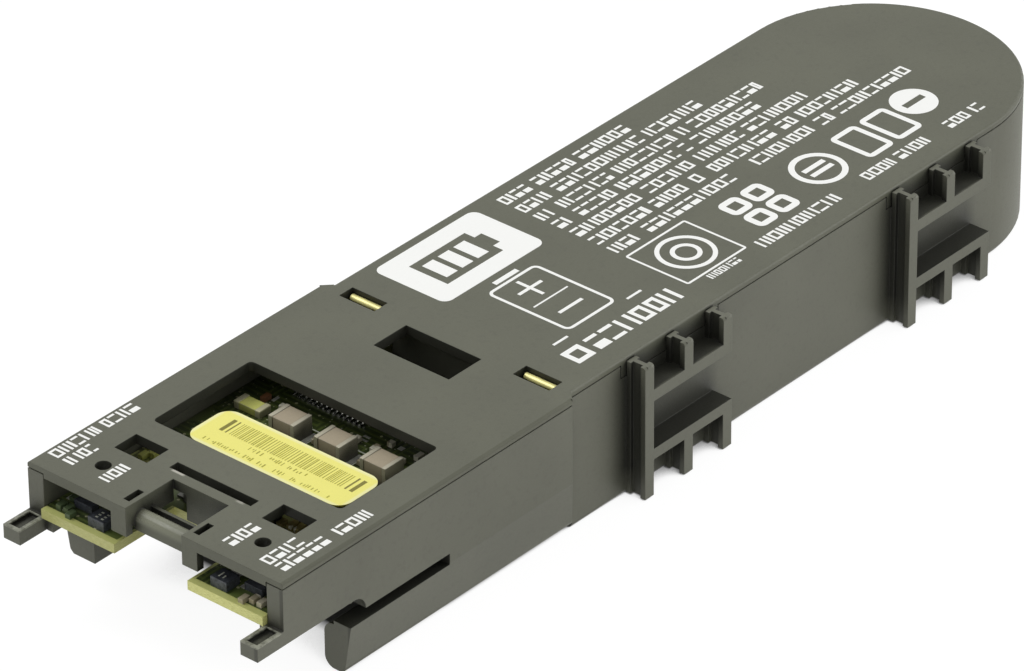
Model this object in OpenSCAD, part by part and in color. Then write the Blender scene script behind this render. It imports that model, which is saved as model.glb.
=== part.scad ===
// RAID battery module: a flat rechargeable pack with a small circuit board in its head.
// Millimetres. X runs along the length towards the round end, Y across it, Z up.
// The origin is on the underside, at mid length, on the centre line of the case.
// A "drop" is a depth below the top face of the cover.

/* [Case] */
// Side wall of the battery half
wall = 1.3; // [1:0.1:1.8]
// Floor of the base
floor_t = 1.2; // [0.8:0.1:2]
// Thickness of the cover plate
cover_t = 1.1; // [1:0.05:1.5]
// Height of the cover edge that shows above the base wall
cover_rim = 0.6; // [0.4:0.05:0.8]
// Height of the shadow gap under the cover rim
seam_h = 0.15; // [0.1:0.05:0.25]
// Depth of the shadow gap
seam_t = 0.25; // [0.15:0.05:0.4]
// Clearance between the cover and the base walls
fit_gap = 0.1; // [0.05:0.05:0.2]
// Room beside the cells, each side
side_room = 1.65; // [1.2:0.05:3]
// Room between the rear cells and the round end wall
end_room = 6.8; // [4:0.1:12]
// Radius along the top edge of the cover
edge_r = 0.3; // [0.1:0.05:0.4]
// Radius along the bottom edge of the battery half
base_r = 0.6; // [0.2:0.1:0.9]

/* [Head] */
// How far the head steps out past the battery half, each side
head_step = 0.95; // [0.5:0.05:1.6]
// Side wall of the head
head_wall = 1.95; // [1.6:0.05:2.05]
// How much higher the underside of the head lies than that of the battery half
head_lift = 0.4; // [0.2:0.1:1]
// How far the lower side walls of the head lean in
lean_in = 0.85; // [0.3:0.05:1.2]
// Drop at which the side walls start to lean in
lean_drop = 9.4; // [8.6:0.1:10.5]
// Drop of the side wall's lower edge at the front
front_drop = 6.75; // [6.2:0.05:7.4]
// Drop of the side wall's lower edge above the latch arm
side_drop = 8.35; // [7.8:0.05:9]
// Where the lower edge starts to step down, from the front
side_step_x = 8.95; // [7:0.05:11]
// Length of that step
side_step_l = 2.2; // [1.7:0.05:4]
// Front wall of the closed rear part of the head, from the front
bay_l = 23.15; // [21:0.05:26]
// Shelf under the circuit board
shelf_t = 1.2; // [0.8:0.1:1.5]

/* [Feet] */
// How far the two feet reach past the front edge
foot_reach = 3.55; // [2:0.05:6]
// Width of a foot
foot_w = 2.1; // [1.6:0.1:3]
// Thickness of a foot
foot_t = 1.55; // [1:0.05:2]
// Depth of the recess in the top of a foot
foot_recess = 0.45; // [0.2:0.05:0.7]
// Lip left round the recess
foot_lip = 0.4; // [0.3:0.05:0.6]

/* [Latch arm] */
// Tip of the latch arm, from the front edge
arm_tip_x = 9.05; // [7:0.05:12]
// Thickness of the arm, across
arm_t = 2.15; // [1.6:0.05:2.6]
// Height of the slot that frees the arm
arm_slot_h = 1.25; // [0.8:0.05:1.6]
// End of that slot, from the front edge
arm_slot_x = 22.85; // [20:0.05:26]
// Length of the latch nose at the tip
nose_l = 3.6; // [2:0.1:6]
// How far the nose stands in from the arm
nose_reach = 1.2; // [0.6:0.1:1.8]

/* [Guide rail] */
// Front end of the guide rail on the other side, from the front edge
rail_x = 4.65; // [3:0.05:9]
// Width of the rail, across
rail_w = 3.6; // [2.4:0.1:5]
// Drop of the rail's lower face
rail_drop = 12.35; // [10:0.05:13.5]

/* [Side clips] */
// Start of the first clip, from the step
clip_x = 8; // [4:0.1:14]
// From the end of the last clip to the start of the round end
clip_end = 3.4; // [0.8:0.1:12]
// Pitch of the three ribs of a clip
rib_pitch = 5.85; // [4:0.05:7]
// Width of a rib's outer rim and of its root
rib_w = 1.3; // [0.9:0.05:1.8]
// Thickness of a rib's web
rib_web = 0.5; // [0.4:0.05:0.8]
// Depth of a rib's outer rim and of its root
rib_rim = 0.6; // [0.4:0.05:0.9]
// Radius along the outer top edge of a rib
rib_r = 0.3; // [0.1:0.05:0.3]
// How far a clip stands out from the side
clip_reach = 2.4; // [1.8:0.05:4]
// Drop of the rib tops
rib_drop = 0.4; // [0.2:0.05:0.8]
// Drop of the upper shelf
upper_shelf_drop = 3.3; // [2.6:0.05:4]
// Thickness of the upper shelf at its outer edge
upper_shelf_t = 1.3; // [0.9:0.05:2]
// Radius of the cove under the upper shelf
cove_r = 2.6; // [2.4:0.05:3.4]
// Drop of the lower shelf
lower_shelf_drop = 10; // [9.2:0.05:10.6]
// Thickness of the lower shelf
lower_shelf_t = 1.2; // [0.8:0.05:1.5]
// Height of the rib feet above the underside
rib_lift = 0.2; // [0.1:0.05:0.8]
// Drop of the cover tabs beside the clips
tab_drop = 2; // [1.4:0.1:2.4]
// Thickness of the cover tabs
tab_t = 0.7; // [0.5:0.05:0.8]
// How far a cover tab reaches past the clip, each end
tab_over = 0.7; // [0.3:0.05:2]

/* [Openings in the cover] */
// Width of the notch in the front edge
notch_w = 7; // [6:0.1:7.6]
// Depth of the notch
notch_l = 6.45; // [5:0.05:6.6]
// Thickness of the notch's side walls
notch_skin = 0.5; // [0.3:0.05:0.6]
// Drop of the lower edge of those side walls
notch_drop = 2.4; // [2:0.1:3.2]
// Gap between the notch and the long slot behind it
bridge_l = 1.2; // [0.8:0.05:1.6]
// Width of the long slot
long_slot_w = 1.15; // [0.8:0.05:1.5]
// Length of the long slot, across
long_slot_l = 10.2; // [8:0.1:11]
// Start of the two light windows, from the front
light_x = 6.85; // [6:0.05:8]
// Length of a light window
light_l = 3; // [2:0.05:3.6]
// Outer edge of a light window, in from the side of the head
light_edge = 4.6; // [4:0.05:5]
// Width of a light window
light_w = 4.15; // [3:0.05:5]
// Place of the two round light holes, from the front
hole_x = 3.95; // [3:0.05:5]
// Middle of a round hole, in from the side of the head
hole_edge = 5.95; // [4.5:0.05:7.5]
// Diameter of the round holes
hole_d = 1.6; // [1:0.1:2.2]
// Start of the two short slots beside the notch, from the front
short_slot_x = 1.05; // [0.9:0.05:2]
// Length of a short slot
short_slot_l = 2.05; // [1:0.05:3]
// Width of a short slot
short_slot_w = 0.75; // [0.4:0.05:0.9]
// Start of the board window, from the front
window_x = 12.55; // [12:0.05:14]
// Length of the board window
window_l = 13.6; // [12:0.05:15]
// Width of the board window
window_w = 23.6; // [20:0.1:26]
// Corner radius of the board window
window_r = 0.5; // [0.2:0.05:1.5]
// Start of the pocket, ahead of the step
pocket_x = 5.75; // [5:0.05:8]
// Length of the pocket
pocket_l = 4.7; // [3:0.05:6]
// Gap between the board and the pocket
pocket_gap = 0.15; // [0.05:0.05:0.4]
// Width of the pocket
pocket_w = 9.5; // [6:0.1:12]
// Start of the two contact slots, ahead of the step
contact_slot_x = 1.15; // [0.9:0.05:1.6]
// Length of a contact slot, along the case
contact_slot_l = 1.95; // [1.6:0.05:2]
// Outer edge of a contact slot, in from the side of the battery half
contact_edge = 1.75; // [1.4:0.05:2.1]
// Width of a contact slot, across
contact_slot_w = 4.5; // [4.2:0.05:4.8]

/* [Front of the cover] */
// Outer edge of a front leg, from the centre line
leg_y = 5.4; // [5.2:0.05:6.4]
// Thickness of a front leg, along the case
leg_t = 0.85; // [0.5:0.05:0.9]
// Drop of the lower end of the legs
leg_drop = 3.2; // [2.4:0.05:3.8]
// Start of the rounded cross bar, from the front
bar_x = 1.15; // [0.9:0.05:1.6]
// Length of the cross bar's section, along the case
bar_l = 1.7; // [1.2:0.05:1.9]
// Drop of the cross bar's crest
bar_drop = 1.1; // [0.8:0.05:1.5]
// Drop of the cross bar's lower face
bar_bottom = 2.9; // [2.4:0.05:3.1]
// Place of the thin ridge behind the cross bar, from the front
ridge_x = 3.4; // [3.2:0.05:4]
// Thickness of the ridge
ridge_t = 0.35; // [0.2:0.05:0.6]
// Drop of the ridge
ridge_drop = 1.5; // [1.1:0.05:2]
// Width of the open part at the back of the notch
gap_w = 1.6; // [0.8:0.1:3]
// Drop of the lower end of the notch's back wall
back_drop = 3.9; // [3:0.1:4.1]

/* [Cells] */
// Length of one oval cell
cell_l = 34.1; // [30:0.1:38]
// Width of one oval cell
cell_w = 24.1; // [22:0.1:28]
// Height of one cell
cell_h = 6.2; // [5.8:0.1:7.5]
// Step from the rim of a cell in to its raised lid
lid_inset = 1.5; // [0.8:0.1:3]
// Height of the raised lid
lid_h = 0.4; // [0.2:0.05:0.8]
// Free space between the bulkhead and the front cells
cell_gap = 0.6; // [0.3:0.1:1.5]
// Free space between the front and the rear cells
stack_gap = 1; // [0.5:0.1:3]
// Thickness of the metal plates and strips
strip_t = 0.2; // [0.1:0.05:0.3]
// Thickness of the upper pad
upper_pad_t = 0.3; // [0.25:0.05:0.8]
// Thickness of the lower pad
lower_pad_t = 0.2; // [0.2:0.05:0.6]
// Width of the strip that joins the two lower cells
link_w = 6; // [3:0.5:10]
// Overlap of that strip with each lower cell
link_lap = 6; // [3:0.5:12]
// Width of the front tab
front_tab_w = 2.6; // [1.5:0.1:3]
// Overlap of a tab with its cell
tab_lap = 7; // [4:0.5:12]
// Width of the rear tab, along the case
rear_tab_w = 6; // [3:0.5:8]
// Place of the rear tab, from the front of the rear cells
rear_tab_x = 3.5; // [2:0.5:6]
// Height of the strip that runs along the side wall
rear_run_h = 2; // [1:0.1:2.6]
// Clearance round a strip where it crosses a pad or the bulkhead
strip_gap = 0.2; // [0.1:0.05:0.3]
// Clearance round the foam in the round end
foam_gap = 0.15; // [0.1:0.05:0.5]
// Depth of the foam along the case
foam_l = 5; // [3:0.5:8]

/* [Contacts] */
// Bulkhead between head and cells, behind the step
bulkhead_x = 0.9; // [0.85:0.05:1.2]
// Thickness of the bulkhead
bulkhead_t = 1.2; // [0.8:0.1:2]
// Width of a contact leaf
leaf_w = 3.9; // [3:0.1:4]
// Thickness of a contact leaf
leaf_t = 0.25; // [0.15:0.05:0.35]
// Outer radius of the roll at the top of a leaf
leaf_r = 0.4; // [0.4:0.05:0.7]
// Drop of the crest of a leaf
leaf_drop = 0.45; // [0.3:0.05:0.6]
// Length of a leaf's foot on the board
leaf_foot = 3.2; // [2:0.1:5]

/* [Circuit board] */
// Thickness of the board
board_t = 1; // [0.8:0.1:1.6]
// Depth of the board's upper face below the cover's underside
board_under = 3.1; // [3.1:0.05:3.5]
// Clearance between the board and the side walls
board_gap = 0.1; // [0.05:0.05:0.3]
// Width of the ledges that carry the board
ledge_w = 1; // [0.6:0.1:1.5]
// How far the two tongues reach past the front edge
tongue_reach = 0.55; // [0:0.05:1.5]
// Inner edge of a tongue, from the centre line
tongue_y = 4.6; // [4.1:0.05:4.9]
// Depth of the gap between the tongues, from the front
tongue_l = 7.7; // [7:0.05:8.4]
// Width of the two tails that carry the contacts
tail_w = 5.9; // [5.4:0.1:7]

/* [Parts on the board] */
// Corner radius of the label
label_r = 1.6; // [0.5:0.1:2.5]
// Length of the label, across
label_l = 19.7; // [14:0.1:20]
// Width of the label, along the case
label_w = 6.15; // [4:0.05:6.3]
// Thickness of the label
label_t = 0.15; // [0.1:0.05:0.3]
// Drop of the label
label_drop = 0.25; // [0.2:0.05:0.6]
// Gap between the label and the window's front and near edges
label_gap = 0.3; // [0.2:0.05:0.6]
// How far the label overhangs the block that carries it
label_over = 0.5; // [0.2:0.05:1]
// Length of a ceramic capacitor, across
cap_l = 3.2; // [2.6:0.1:3.3]
// Width of a ceramic capacitor
cap_w = 2.6; // [1.6:0.1:2.8]
// Height of a ceramic capacitor
cap_h = 2.1; // [1:0.1:2.6]
// Length of the metal ends of a capacitor
cap_end = 0.45; // [0.2:0.05:0.8]
// Middle of the capacitors, from the front
cap_x = 23.9; // [23.6:0.05:24]
// Middle of the first capacitor, from the centre line
cap_y = 4.8; // [4:0.1:5.4]
// Distance from one capacitor to the next
cap_pitch = 5.75; // [4:0.05:6]
// Length of the fuse, across
fuse_l = 3.3; // [2.4:0.1:3.6]
// Width of the fuse
fuse_w = 1.6; // [1:0.1:1.8]
// Height of the fuse
fuse_h = 0.8; // [0.5:0.05:1.2]
// Length of the metal ends of the fuse
fuse_end = 0.6; // [0.3:0.05:0.9]
// Gap between the first capacitor and the fuse
fuse_gap = 2.35; // [1.8:0.05:2.6]
// Middle of the fuse, behind the middle of the capacitors
fuse_shift = 0.8; // [0:0.05:1]
// Length of the controller chip, across
chip_l = 9.7; // [6:0.1:10]
// Width of the controller chip
chip_w = 4.4; // [3:0.1:5]
// Height of the controller chip
chip_h = 1; // [0.8:0.05:1.2]
// Free height under the chip
chip_lift = 0.15; // [0.1:0.05:0.3]
// Middle of the chip, from the centre line
chip_y = 4.9; // [0:0.1:5.5]
// Gap between the board window and the chip
chip_gap = 3.8; // [2.4:0.05:6]
// Board left behind the chip's rear leads
chip_margin = 0.2; // [0.1:0.05:0.6]
// Number of leads on each side of the chip
lead_n = 14; // [6:1:14]
// Pitch of the leads
lead_pitch = 0.65; // [0.5:0.05:0.65]
// Width of a lead
lead_w = 0.25; // [0.15:0.05:0.35]
// Thickness of a lead
lead_t = 0.15; // [0.1:0.05:0.2]
// Height of a lead's shoulder above the board
lead_h = 0.6; // [0.4:0.05:0.8]
// Length of a lead's shoulder
lead_knee = 0.4; // [0.3:0.05:0.6]
// How far a lead reaches out from the chip
lead_reach = 1; // [0.8:0.05:1.2]
// Length of a light-emitting diode
led_l = 1.6; // [1:0.1:2]
// Width of a light-emitting diode
led_w = 0.8; // [0.5:0.1:1.2]
// Height of a light-emitting diode
led_h = 0.7; // [0.4:0.05:1.2]
// Number of ways in the cable header
header_n = 6; // [2:1:7]
// Pitch of the header pins
header_pitch = 1.25; // [1:0.05:1.25]
// Height of the cable header
header_h = 2.8; // [2.2:0.05:3]
// Depth of the cable header
header_l = 3.7; // [3:0.05:3.8]
// Wall of the cable header
header_skin = 0.5; // [0.3:0.05:0.7]
// Width of the header beyond its outer pins
header_side = 1.2; // [0.9:0.05:1.6]
// Thickness of a header pin
pin_t = 0.4; // [0.3:0.05:0.6]
// How far the pins stay behind the mouth of the header
pin_depth = 0.6; // [0.3:0.05:1]
// Length and height of a header hold-down
hold_l = 2; // [1.2:0.1:2.4]
// Thickness of a hold-down
hold_t = 0.25; // [0.15:0.05:0.4]
// Reach of a hold-down's foot
hold_foot = 1.1; // [0.8:0.05:1.4]
// Place of a hold-down, behind the mouth of the header
hold_x = 0.3; // [0:0.05:1]
// Width of a driver chip, along the case
driver_w = 1.8; // [1.2:0.1:2]
// Length of a driver chip, across
driver_l = 2; // [1.4:0.1:2.4]
// Height of a driver chip
driver_h = 1; // [0.6:0.1:1.2]
// Middle of a driver chip, from the front
driver_x = 1.2; // [1:0.05:2]
// Middle of a driver chip, out from the tongue's inner edge
driver_in = 3.1; // [1.6:0.05:3.6]
// Width of the diode beside a driver chip, along the case
diode_w = 1; // [0.6:0.05:1.2]
// Length of that diode, across
diode_l = 2.2; // [1.6:0.1:2.4]
// Height of that diode
diode_h = 0.8; // [0.5:0.05:1]
// Middle of the diode, from the front
diode_x = 2.25; // [2:0.05:2.4]
// Middle of the diode, in from the side of the head
diode_edge = 5.25; // [4.8:0.05:5.5]
// Width of a chip resistor
small_w = 0.6; // [0.3:0.05:0.8]
// Height of a chip resistor
small_h = 0.5; // [0.3:0.05:0.7]

/* [Hidden] */
$fn = 96;
// Overlap of joined shapes
eps = 0.01;
// How far a cut runs past a face
over = 1;
// Thickness of the metal on the ends of a chip part
end_skin = 0.05;

// Heights, measured up from the underside
stack_h = lower_pad_t + 2 * cell_h + strip_t + upper_pad_t;
body_h = floor_t + stack_h + cover_t;
rim_z = body_h - cover_rim;
ceiling_z = body_h - cover_t;
board_z = ceiling_z - board_under;
ledge_z = board_z - board_t;
front_z = body_h - front_drop;
side_z = body_h - side_drop;
slot_z = side_z - arm_slot_h;
shelf_z = side_z + shelf_t;
cell_z = floor_t + lower_pad_t;
upper_cell_z = cell_z + cell_h + strip_t;
cell_top = upper_cell_z + cell_h;
crest_z = body_h - leaf_drop;

// Widths, measured out from the centre line
body_y = cell_w / 2 + side_room + wall;
head_y = body_y + head_step;
cell_room_y = body_y - wall;
board_room_y = head_y - head_wall;
board_y = board_room_y - board_gap;
short_slot_y = notch_w / 2 + notch_skin + short_slot_w / 2;
hole_y = head_y - hole_edge;
light_y = head_y - light_edge - light_w / 2;
contact_y = body_y - contact_edge - contact_slot_w / 2;
tail_y = board_y - tail_w;

// Stations along the case, measured from its middle
cells_l = 2 * cell_l + stack_gap;
batt_l = bulkhead_x + bulkhead_t + cell_gap + cells_l + end_room + wall;
board_end = pocket_x + pocket_gap;
head_l = window_x + window_l + chip_gap + chip_w + lead_reach + chip_margin + board_end;
total_l = foot_reach + head_l + batt_l;
front_x = foot_reach - total_l / 2;
step_x = front_x + head_l;
end_x = step_x + batt_l;
round_x = end_x - body_y;
divider_x = step_x + bulkhead_x;
room_x = divider_x + bulkhead_t;
front_cell_x = room_x + cell_gap;
rear_cell_x = front_cell_x + cell_l + stack_gap;
cells_end = front_cell_x + cells_l;
bay_x = front_x + bay_l;
window_front = front_x + window_x;
board_mid_x = front_x + tongue_l;
chip_x = window_front + window_l + chip_gap + chip_w / 2;
clip_l = 2 * rib_pitch + rib_w;
clip_pitch = round_x - clip_end - clip_l - clip_x - step_x;
label_x = window_front + label_gap;
label_y = label_gap - window_w / 2;
block_z = body_h - label_drop - label_t;
header_x = front_x + notch_l + bridge_l + long_slot_w;
header_w = (header_n - 1) * header_pitch + 2 * header_side + pin_t;
foam_x = cells_end + end_room / 2 - foam_l;

// A section drawn in Y and Z, run along X from x0 to x1
module along_x(x0, x1) {
  translate([x0, 0, 0])
    rotate([90, 0, 90])
      linear_extrude(x1 - x0)
        children();
}

// A section drawn in X and Z, run along Y from y0 to y1
module along_y(y0, y1) {
  translate([0, y1, 0])
    rotate([90, 0, 0])
      linear_extrude(y1 - y0)
        children();
}

// A box given by its two corners
module box(a, b) {
  translate(a)
    cube(b - a);
}

// A flat racetrack shape with its length along X, from x = 0
module racetrack(l, w) {
  translate([w / 2, -w / 2])
    square([l - w, w]);
  for (x = [w / 2, l - w / 2])
    translate([x, 0])
      circle(d = w);
}

// A rectangle with round corners, centred
module round_rect(l, w, r) {
  square([l - 2 * r, w], center = true);
  square([l, w - 2 * r], center = true);
  for (x = [r - l / 2, l / 2 - r], y = [r - w / 2, w / 2 - r])
    translate([x, y])
      circle(r);
}

// Half of a slab's section, from the centre line out to w, with round outer corners
module slab_edge(w, z0, z1, r_low, r_top) {
  translate([0, z0 + r_low])
    square([w, z1 - z0 - r_low - r_top]);
  translate([0, z0])
    square([w - max(r_low, r_top), z1 - z0]);
  if (r_low > 0)
    translate([w - r_low, z0 + r_low])
      circle(r_low);
  if (r_top > 0)
    translate([w - r_top, z1 - r_top])
      circle(r_top);
}

// The whole section of such a slab
module slab_section(w, z0, z1, r_low, r_top) {
  slab_edge(w, z0, z1, r_low, r_top);
  mirror([1, 0])
    slab_edge(w, z0, z1, r_low, r_top);
}

// The battery half as a slab: a bar and a round end
module battery_slab(inset, z0, z1, r_low, r_top) {
  along_x(step_x, round_x)
    slab_section(body_y - inset, z0, z1, r_low, r_top);
  translate([round_x, 0, 0])
    rotate_extrude()
      intersection() {
        slab_edge(body_y - inset, z0, z1, r_low, r_top);
        square([2 * body_y, 2 * body_h]);
      }
}

// Plan of the whole case, taken in by g
module case_plan(g) {
  translate([front_x + g, g - head_y])
    square([head_l - head_step - g, 2 * (head_y - g)]);
  polygon([
    [step_x - head_step, g - head_y], [step_x, g - body_y],
    [step_x, body_y - g], [step_x - head_step, head_y - g]]);
  translate([step_x, g - body_y])
    square([round_x - step_x, 2 * (body_y - g)]);
  translate([round_x, 0])
    circle(body_y - g);
}

// The shadow gap all round, just under the cover rim
module seam() {
  translate([0, 0, rim_z - seam_h])
    linear_extrude(2 * seam_h)
      difference() {
        case_plan(-over);
        case_plan(seam_t);
      }
}

// The 45 degree step from the head to the battery half
module step_wedge(z0, z1) {
  translate([0, 0, z0])
    linear_extrude(z1 - z0)
      polygon([
        [step_x - head_step, -head_y], [step_x, -body_y],
        [step_x, body_y], [step_x - head_step, head_y]]);
}

// Outer section of the head below the cover: upright above, leaning in below
module head_section() {
  low_y = head_y - lean_in;
  lean_z = body_h - lean_drop;
  corner_z = head_lift + base_r;
  polygon([
    [-head_y, rim_z], [head_y, rim_z], [head_y, lean_z], [low_y, corner_z],
    [-low_y, corner_z], [-head_y, lean_z]]);
  translate([base_r - low_y, head_lift])
    square([2 * (low_y - base_r), 2 * base_r]);
  for (y = [base_r - low_y, low_y - base_r])
    translate([y, corner_z])
      circle(base_r);
}

// Lower edge of a side wall of the head, as a shape in X and Z, above the bay
module side_wall_shape() {
  x0 = front_x + side_step_x;
  x1 = x0 + side_step_l;
  drop = front_z - side_z;
  difference() {
    polygon([
      [front_x, rim_z], [bay_x + wall, rim_z], [bay_x + wall, side_z],
      [x1, side_z], [x0, front_z], [front_x, front_z]]);
    translate([x1 - drop, front_z - drop])
      circle(drop);
  }
}

// The two side walls over the bay, and the closed part of the head behind it
module head_shell() {
  intersection() {
    along_x(front_x, step_x - head_step)
      head_section();
    union() {
      for (side = [-1, 1])
        translate([0, side * (board_room_y + head_wall / 2), 0])
          along_y(-head_wall / 2, head_wall / 2)
            side_wall_shape();
      difference() {
        box([bay_x, -head_y, 0], [step_x, head_y, rim_z]);
        box([bay_x - eps, -board_room_y, shelf_z], [step_x + eps, board_room_y, rim_z + eps]);
        box(
          [bay_x + wall, -board_room_y, head_lift + floor_t],
          [step_x + eps, board_room_y, rim_z + eps]);
      }
    }
  }
  difference() {
    intersection() {
      step_wedge(0, rim_z);
      along_x(step_x - 2 * head_step, step_x)
        head_section();
    }
    box(
      [step_x - 2 * head_step, -board_room_y, head_lift + floor_t],
      [divider_x, board_room_y, rim_z + eps]);
  }
}

// Shelf over the bay and the ledges that carry the board
module board_seat() {
  x0 = front_x + side_step_x + side_step_l;
  box([x0, -board_room_y - eps, side_z], [bay_x + wall, board_room_y + eps, shelf_z]);
  for (side = [-1, 1])
    translate([0, side * (board_room_y - ledge_w / 2), 0])
      box([front_x, -ledge_w / 2 - eps, front_z], [step_x, ledge_w / 2 + eps, ledge_z]);
}

// Latch arm: a springy tongue of the near side wall with a nose at its tip
module latch_arm() {
  tip = front_x + arm_tip_x;
  inner_y = arm_t - head_y;
  nose_z = head_lift + nose_reach;
  nose_top = slot_z - foot_lip - nose_reach;
  intersection() {
    along_x(tip, bay_x + wall)
      head_section();
    union() {
      box([tip, -head_y, 0], [bay_x + wall, inner_y, slot_z]);
      box([front_x + arm_slot_x, -head_y, 0], [bay_x + wall, inner_y, side_z + eps]);
      along_x(tip, tip + nose_l) {
        translate([inner_y - eps, nose_z])
          square([nose_reach + eps, nose_top - nose_z]);
        for (z = [nose_z, nose_top])
          translate([inner_y, z])
            circle(nose_reach);
      }
    }
  }
}

// Fixed guide rail under the far side wall
module guide_rail() {
  z0 = body_h - rail_drop;
  x0 = front_x + rail_x;
  intersection() {
    along_x(x0, bay_x + wall)
      head_section();
    difference() {
      box([x0, head_y - rail_w, z0], [bay_x + wall, head_y, front_z + eps]);
      along_x(x0 - eps, bay_x)
        polygon([
          [head_y - lean_in, z0 - eps], [head_y + eps, z0 - eps], [head_y + eps, z0 + lean_in]]);
    }
  }
}

// One foot on the front of a side wall, drawn for the far side
module foot() {
  x0 = front_x - foot_reach;
  top = front_z + foot_t;
  difference() {
    box([x0, head_y - foot_w, front_z], [front_x + eps, head_y, top]);
    box(
      [x0 + foot_lip, head_y - foot_w + foot_lip, top - foot_recess],
      [front_x - foot_lip, head_y - foot_lip, top + eps]);
  }
}

// One rib of a clip: a web with a rim outside and a root on the wall, r round its outer top edge
module rib(z0, z1, r) {
  y0 = -body_y - clip_reach;
  along_x(0, rib_w) {
    translate([y0, z0])
      square([rib_rim, z1 - z0 - r]);
    translate([y0 + r, z0])
      square([rib_rim - r, z1 - z0]);
    if (r > 0)
      translate([y0 + r, z1 - r])
        circle(r);
  }
  box([0, -body_y - rib_rim, z0], [rib_w, -body_y + eps, z1]);
  box([(rib_w - rib_web) / 2, y0, z0], [(rib_w + rib_web) / 2, -body_y, z1]);
}

// One side clip: two shelves joined by three ribs
module side_clip() {
  y0 = -body_y - clip_reach;
  upper_z = body_h - upper_shelf_drop;
  lower_z = body_h - lower_shelf_drop;
  cove_z = upper_z - upper_shelf_t - cove_r;
  rib(rib_lift, body_h - rib_drop, rib_r);
  for (i = [1, 2])
    translate([i * rib_pitch, 0, 0]) {
      rib(upper_z - eps, body_h - rib_drop, rib_r);
      rib(rib_lift, lower_z - eps, 0);
    }
  box([rib_w / 2, y0, lower_z - lower_shelf_t], [clip_l, -body_y + eps, lower_z]);
  along_x(rib_w / 2, clip_l)
    difference() {
      translate([y0, cove_z])
        square([clip_reach + eps, upper_z - cove_z]);
      translate([y0, cove_z])
        circle(cove_r);
    }
}

// Room for the cover tabs in the near side wall
module tab_rooms() {
  for (i = [0, 1])
    translate([step_x + clip_x + i * clip_pitch, 0, 0])
      box(
        [-tab_over - fit_gap, -body_y - fit_gap, body_h - tab_drop - fit_gap],
        [clip_l + tab_over + fit_gap, -body_y + tab_t + fit_gap, body_h]);
}

// Passages for the strips over the bulkhead
module strip_passages() {
  for (side = [-1, 1])
    translate([0, side * contact_y, 0])
      box(
        [divider_x - eps, -contact_slot_w / 2, cell_top - rear_run_h],
        [room_x + eps, contact_slot_w / 2, rim_z + eps]);
}

module base_housing() {
  color("#35352f")
    difference() {
      union() {
        difference() {
          union() {
            battery_slab(0, 0, rim_z, base_r, 0);
            head_shell();
          }
          box([step_x - eps, -board_room_y, head_lift + floor_t], [divider_x, board_room_y, body_h]);
          intersection() {
            battery_slab(wall, floor_t, body_h, 0, 0);
            box([room_x, -body_y, 0], [end_x, body_y, body_h]);
          }
          seam();
        }
        board_seat();
        latch_arm();
        guide_rail();
        foot();
        mirror([0, 1, 0])
          foot();
        for (i = [0, 1])
          translate([step_x + clip_x + i * clip_pitch, 0, 0])
            side_clip();
      }
      tab_rooms();
      strip_passages();
    }
}

// Openings through the cover plate, as flat shapes
module cover_openings() {
  translate([front_x - over, -notch_w / 2])
    square([notch_l + over, notch_w]);
  translate([header_x - long_slot_w, -long_slot_l / 2])
    square([long_slot_w, long_slot_l]);
  translate([window_front + window_l / 2, 0])
    round_rect(window_l, window_w, window_r);
  translate([step_x - pocket_x, -pocket_w / 2])
    square([pocket_l, pocket_w]);
  for (side = [-1, 1]) {
    translate([front_x + light_x, side * light_y - light_w / 2])
      square([light_l, light_w]);
    translate([front_x + hole_x, side * hole_y])
      circle(d = hole_d);
    translate([front_x + short_slot_x, side * short_slot_y - short_slot_w / 2])
      square([short_slot_l, short_slot_w]);
    translate([
      step_x - contact_slot_x,
      side * contact_y - contact_slot_w / 2])
      square([contact_slot_l, contact_slot_w]);
  }
}

// Front legs, side walls of the notch and its back wall
module notch_walls() {
  inner = notch_w / 2;
  for (side = [-1, 1])
    mirror([0, side < 0 ? 1 : 0, 0]) {
      box([front_x, inner, body_h - leg_drop], [front_x + leg_t, leg_y, rim_z]);
      box([front_x, inner, body_h - notch_drop], [front_x + notch_l, inner + notch_skin, rim_z]);
    }
  box(
    [front_x + notch_l, -inner - notch_skin, body_h - back_drop],
    [header_x - long_slot_w, inner - gap_w, rim_z]);
}

// Rounded cross bar between the legs, and the thin ridge behind it
module cross_bar() {
  x0 = front_x + bar_x;
  r = bar_l / 2;
  along_y(-notch_w / 2 - eps, notch_w / 2 + eps) {
    translate([x0, body_h - bar_bottom])
      square([bar_l, bar_bottom - bar_drop - r]);
    translate([x0 + r, body_h - bar_drop - r])
      circle(r);
    translate([front_x + ridge_x, body_h - bar_bottom])
      square([ridge_t, bar_bottom - ridge_drop]);
  }
}

// The part of the cover that drops inside the base walls
module cover_plug() {
  head_in = board_room_y - fit_gap;
  translate([0, 0, ceiling_z])
    linear_extrude(cover_t)
      translate([front_x, -head_in])
        square([head_l + bulkhead_x - fit_gap, 2 * head_in]);
  difference() {
    battery_slab(wall + fit_gap, ceiling_z, body_h - edge_r, 0, 0);
    box([step_x - eps, -body_y, 0], [room_x + fit_gap, body_y, body_h]);
  }
}

module top_cover() {
  color("#3b3b35") {
    difference() {
      union() {
        along_x(front_x, step_x - head_step)
          slab_section(head_y, rim_z, body_h, 0, edge_r);
        step_wedge(rim_z, body_h);
        battery_slab(0, rim_z, body_h, 0, edge_r);
        cover_plug();
        for (i = [0, 1])
          translate([step_x + clip_x + i * clip_pitch, 0, 0])
            box(
              [-tab_over, -body_y, body_h - tab_drop],
              [clip_l + tab_over, -body_y + tab_t, rim_z + eps]);
      }
      translate([0, 0, body_h - leg_drop])
        linear_extrude(2 * leg_drop)
          cover_openings();
    }
    notch_walls();
    cross_bar();
  }
}

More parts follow.
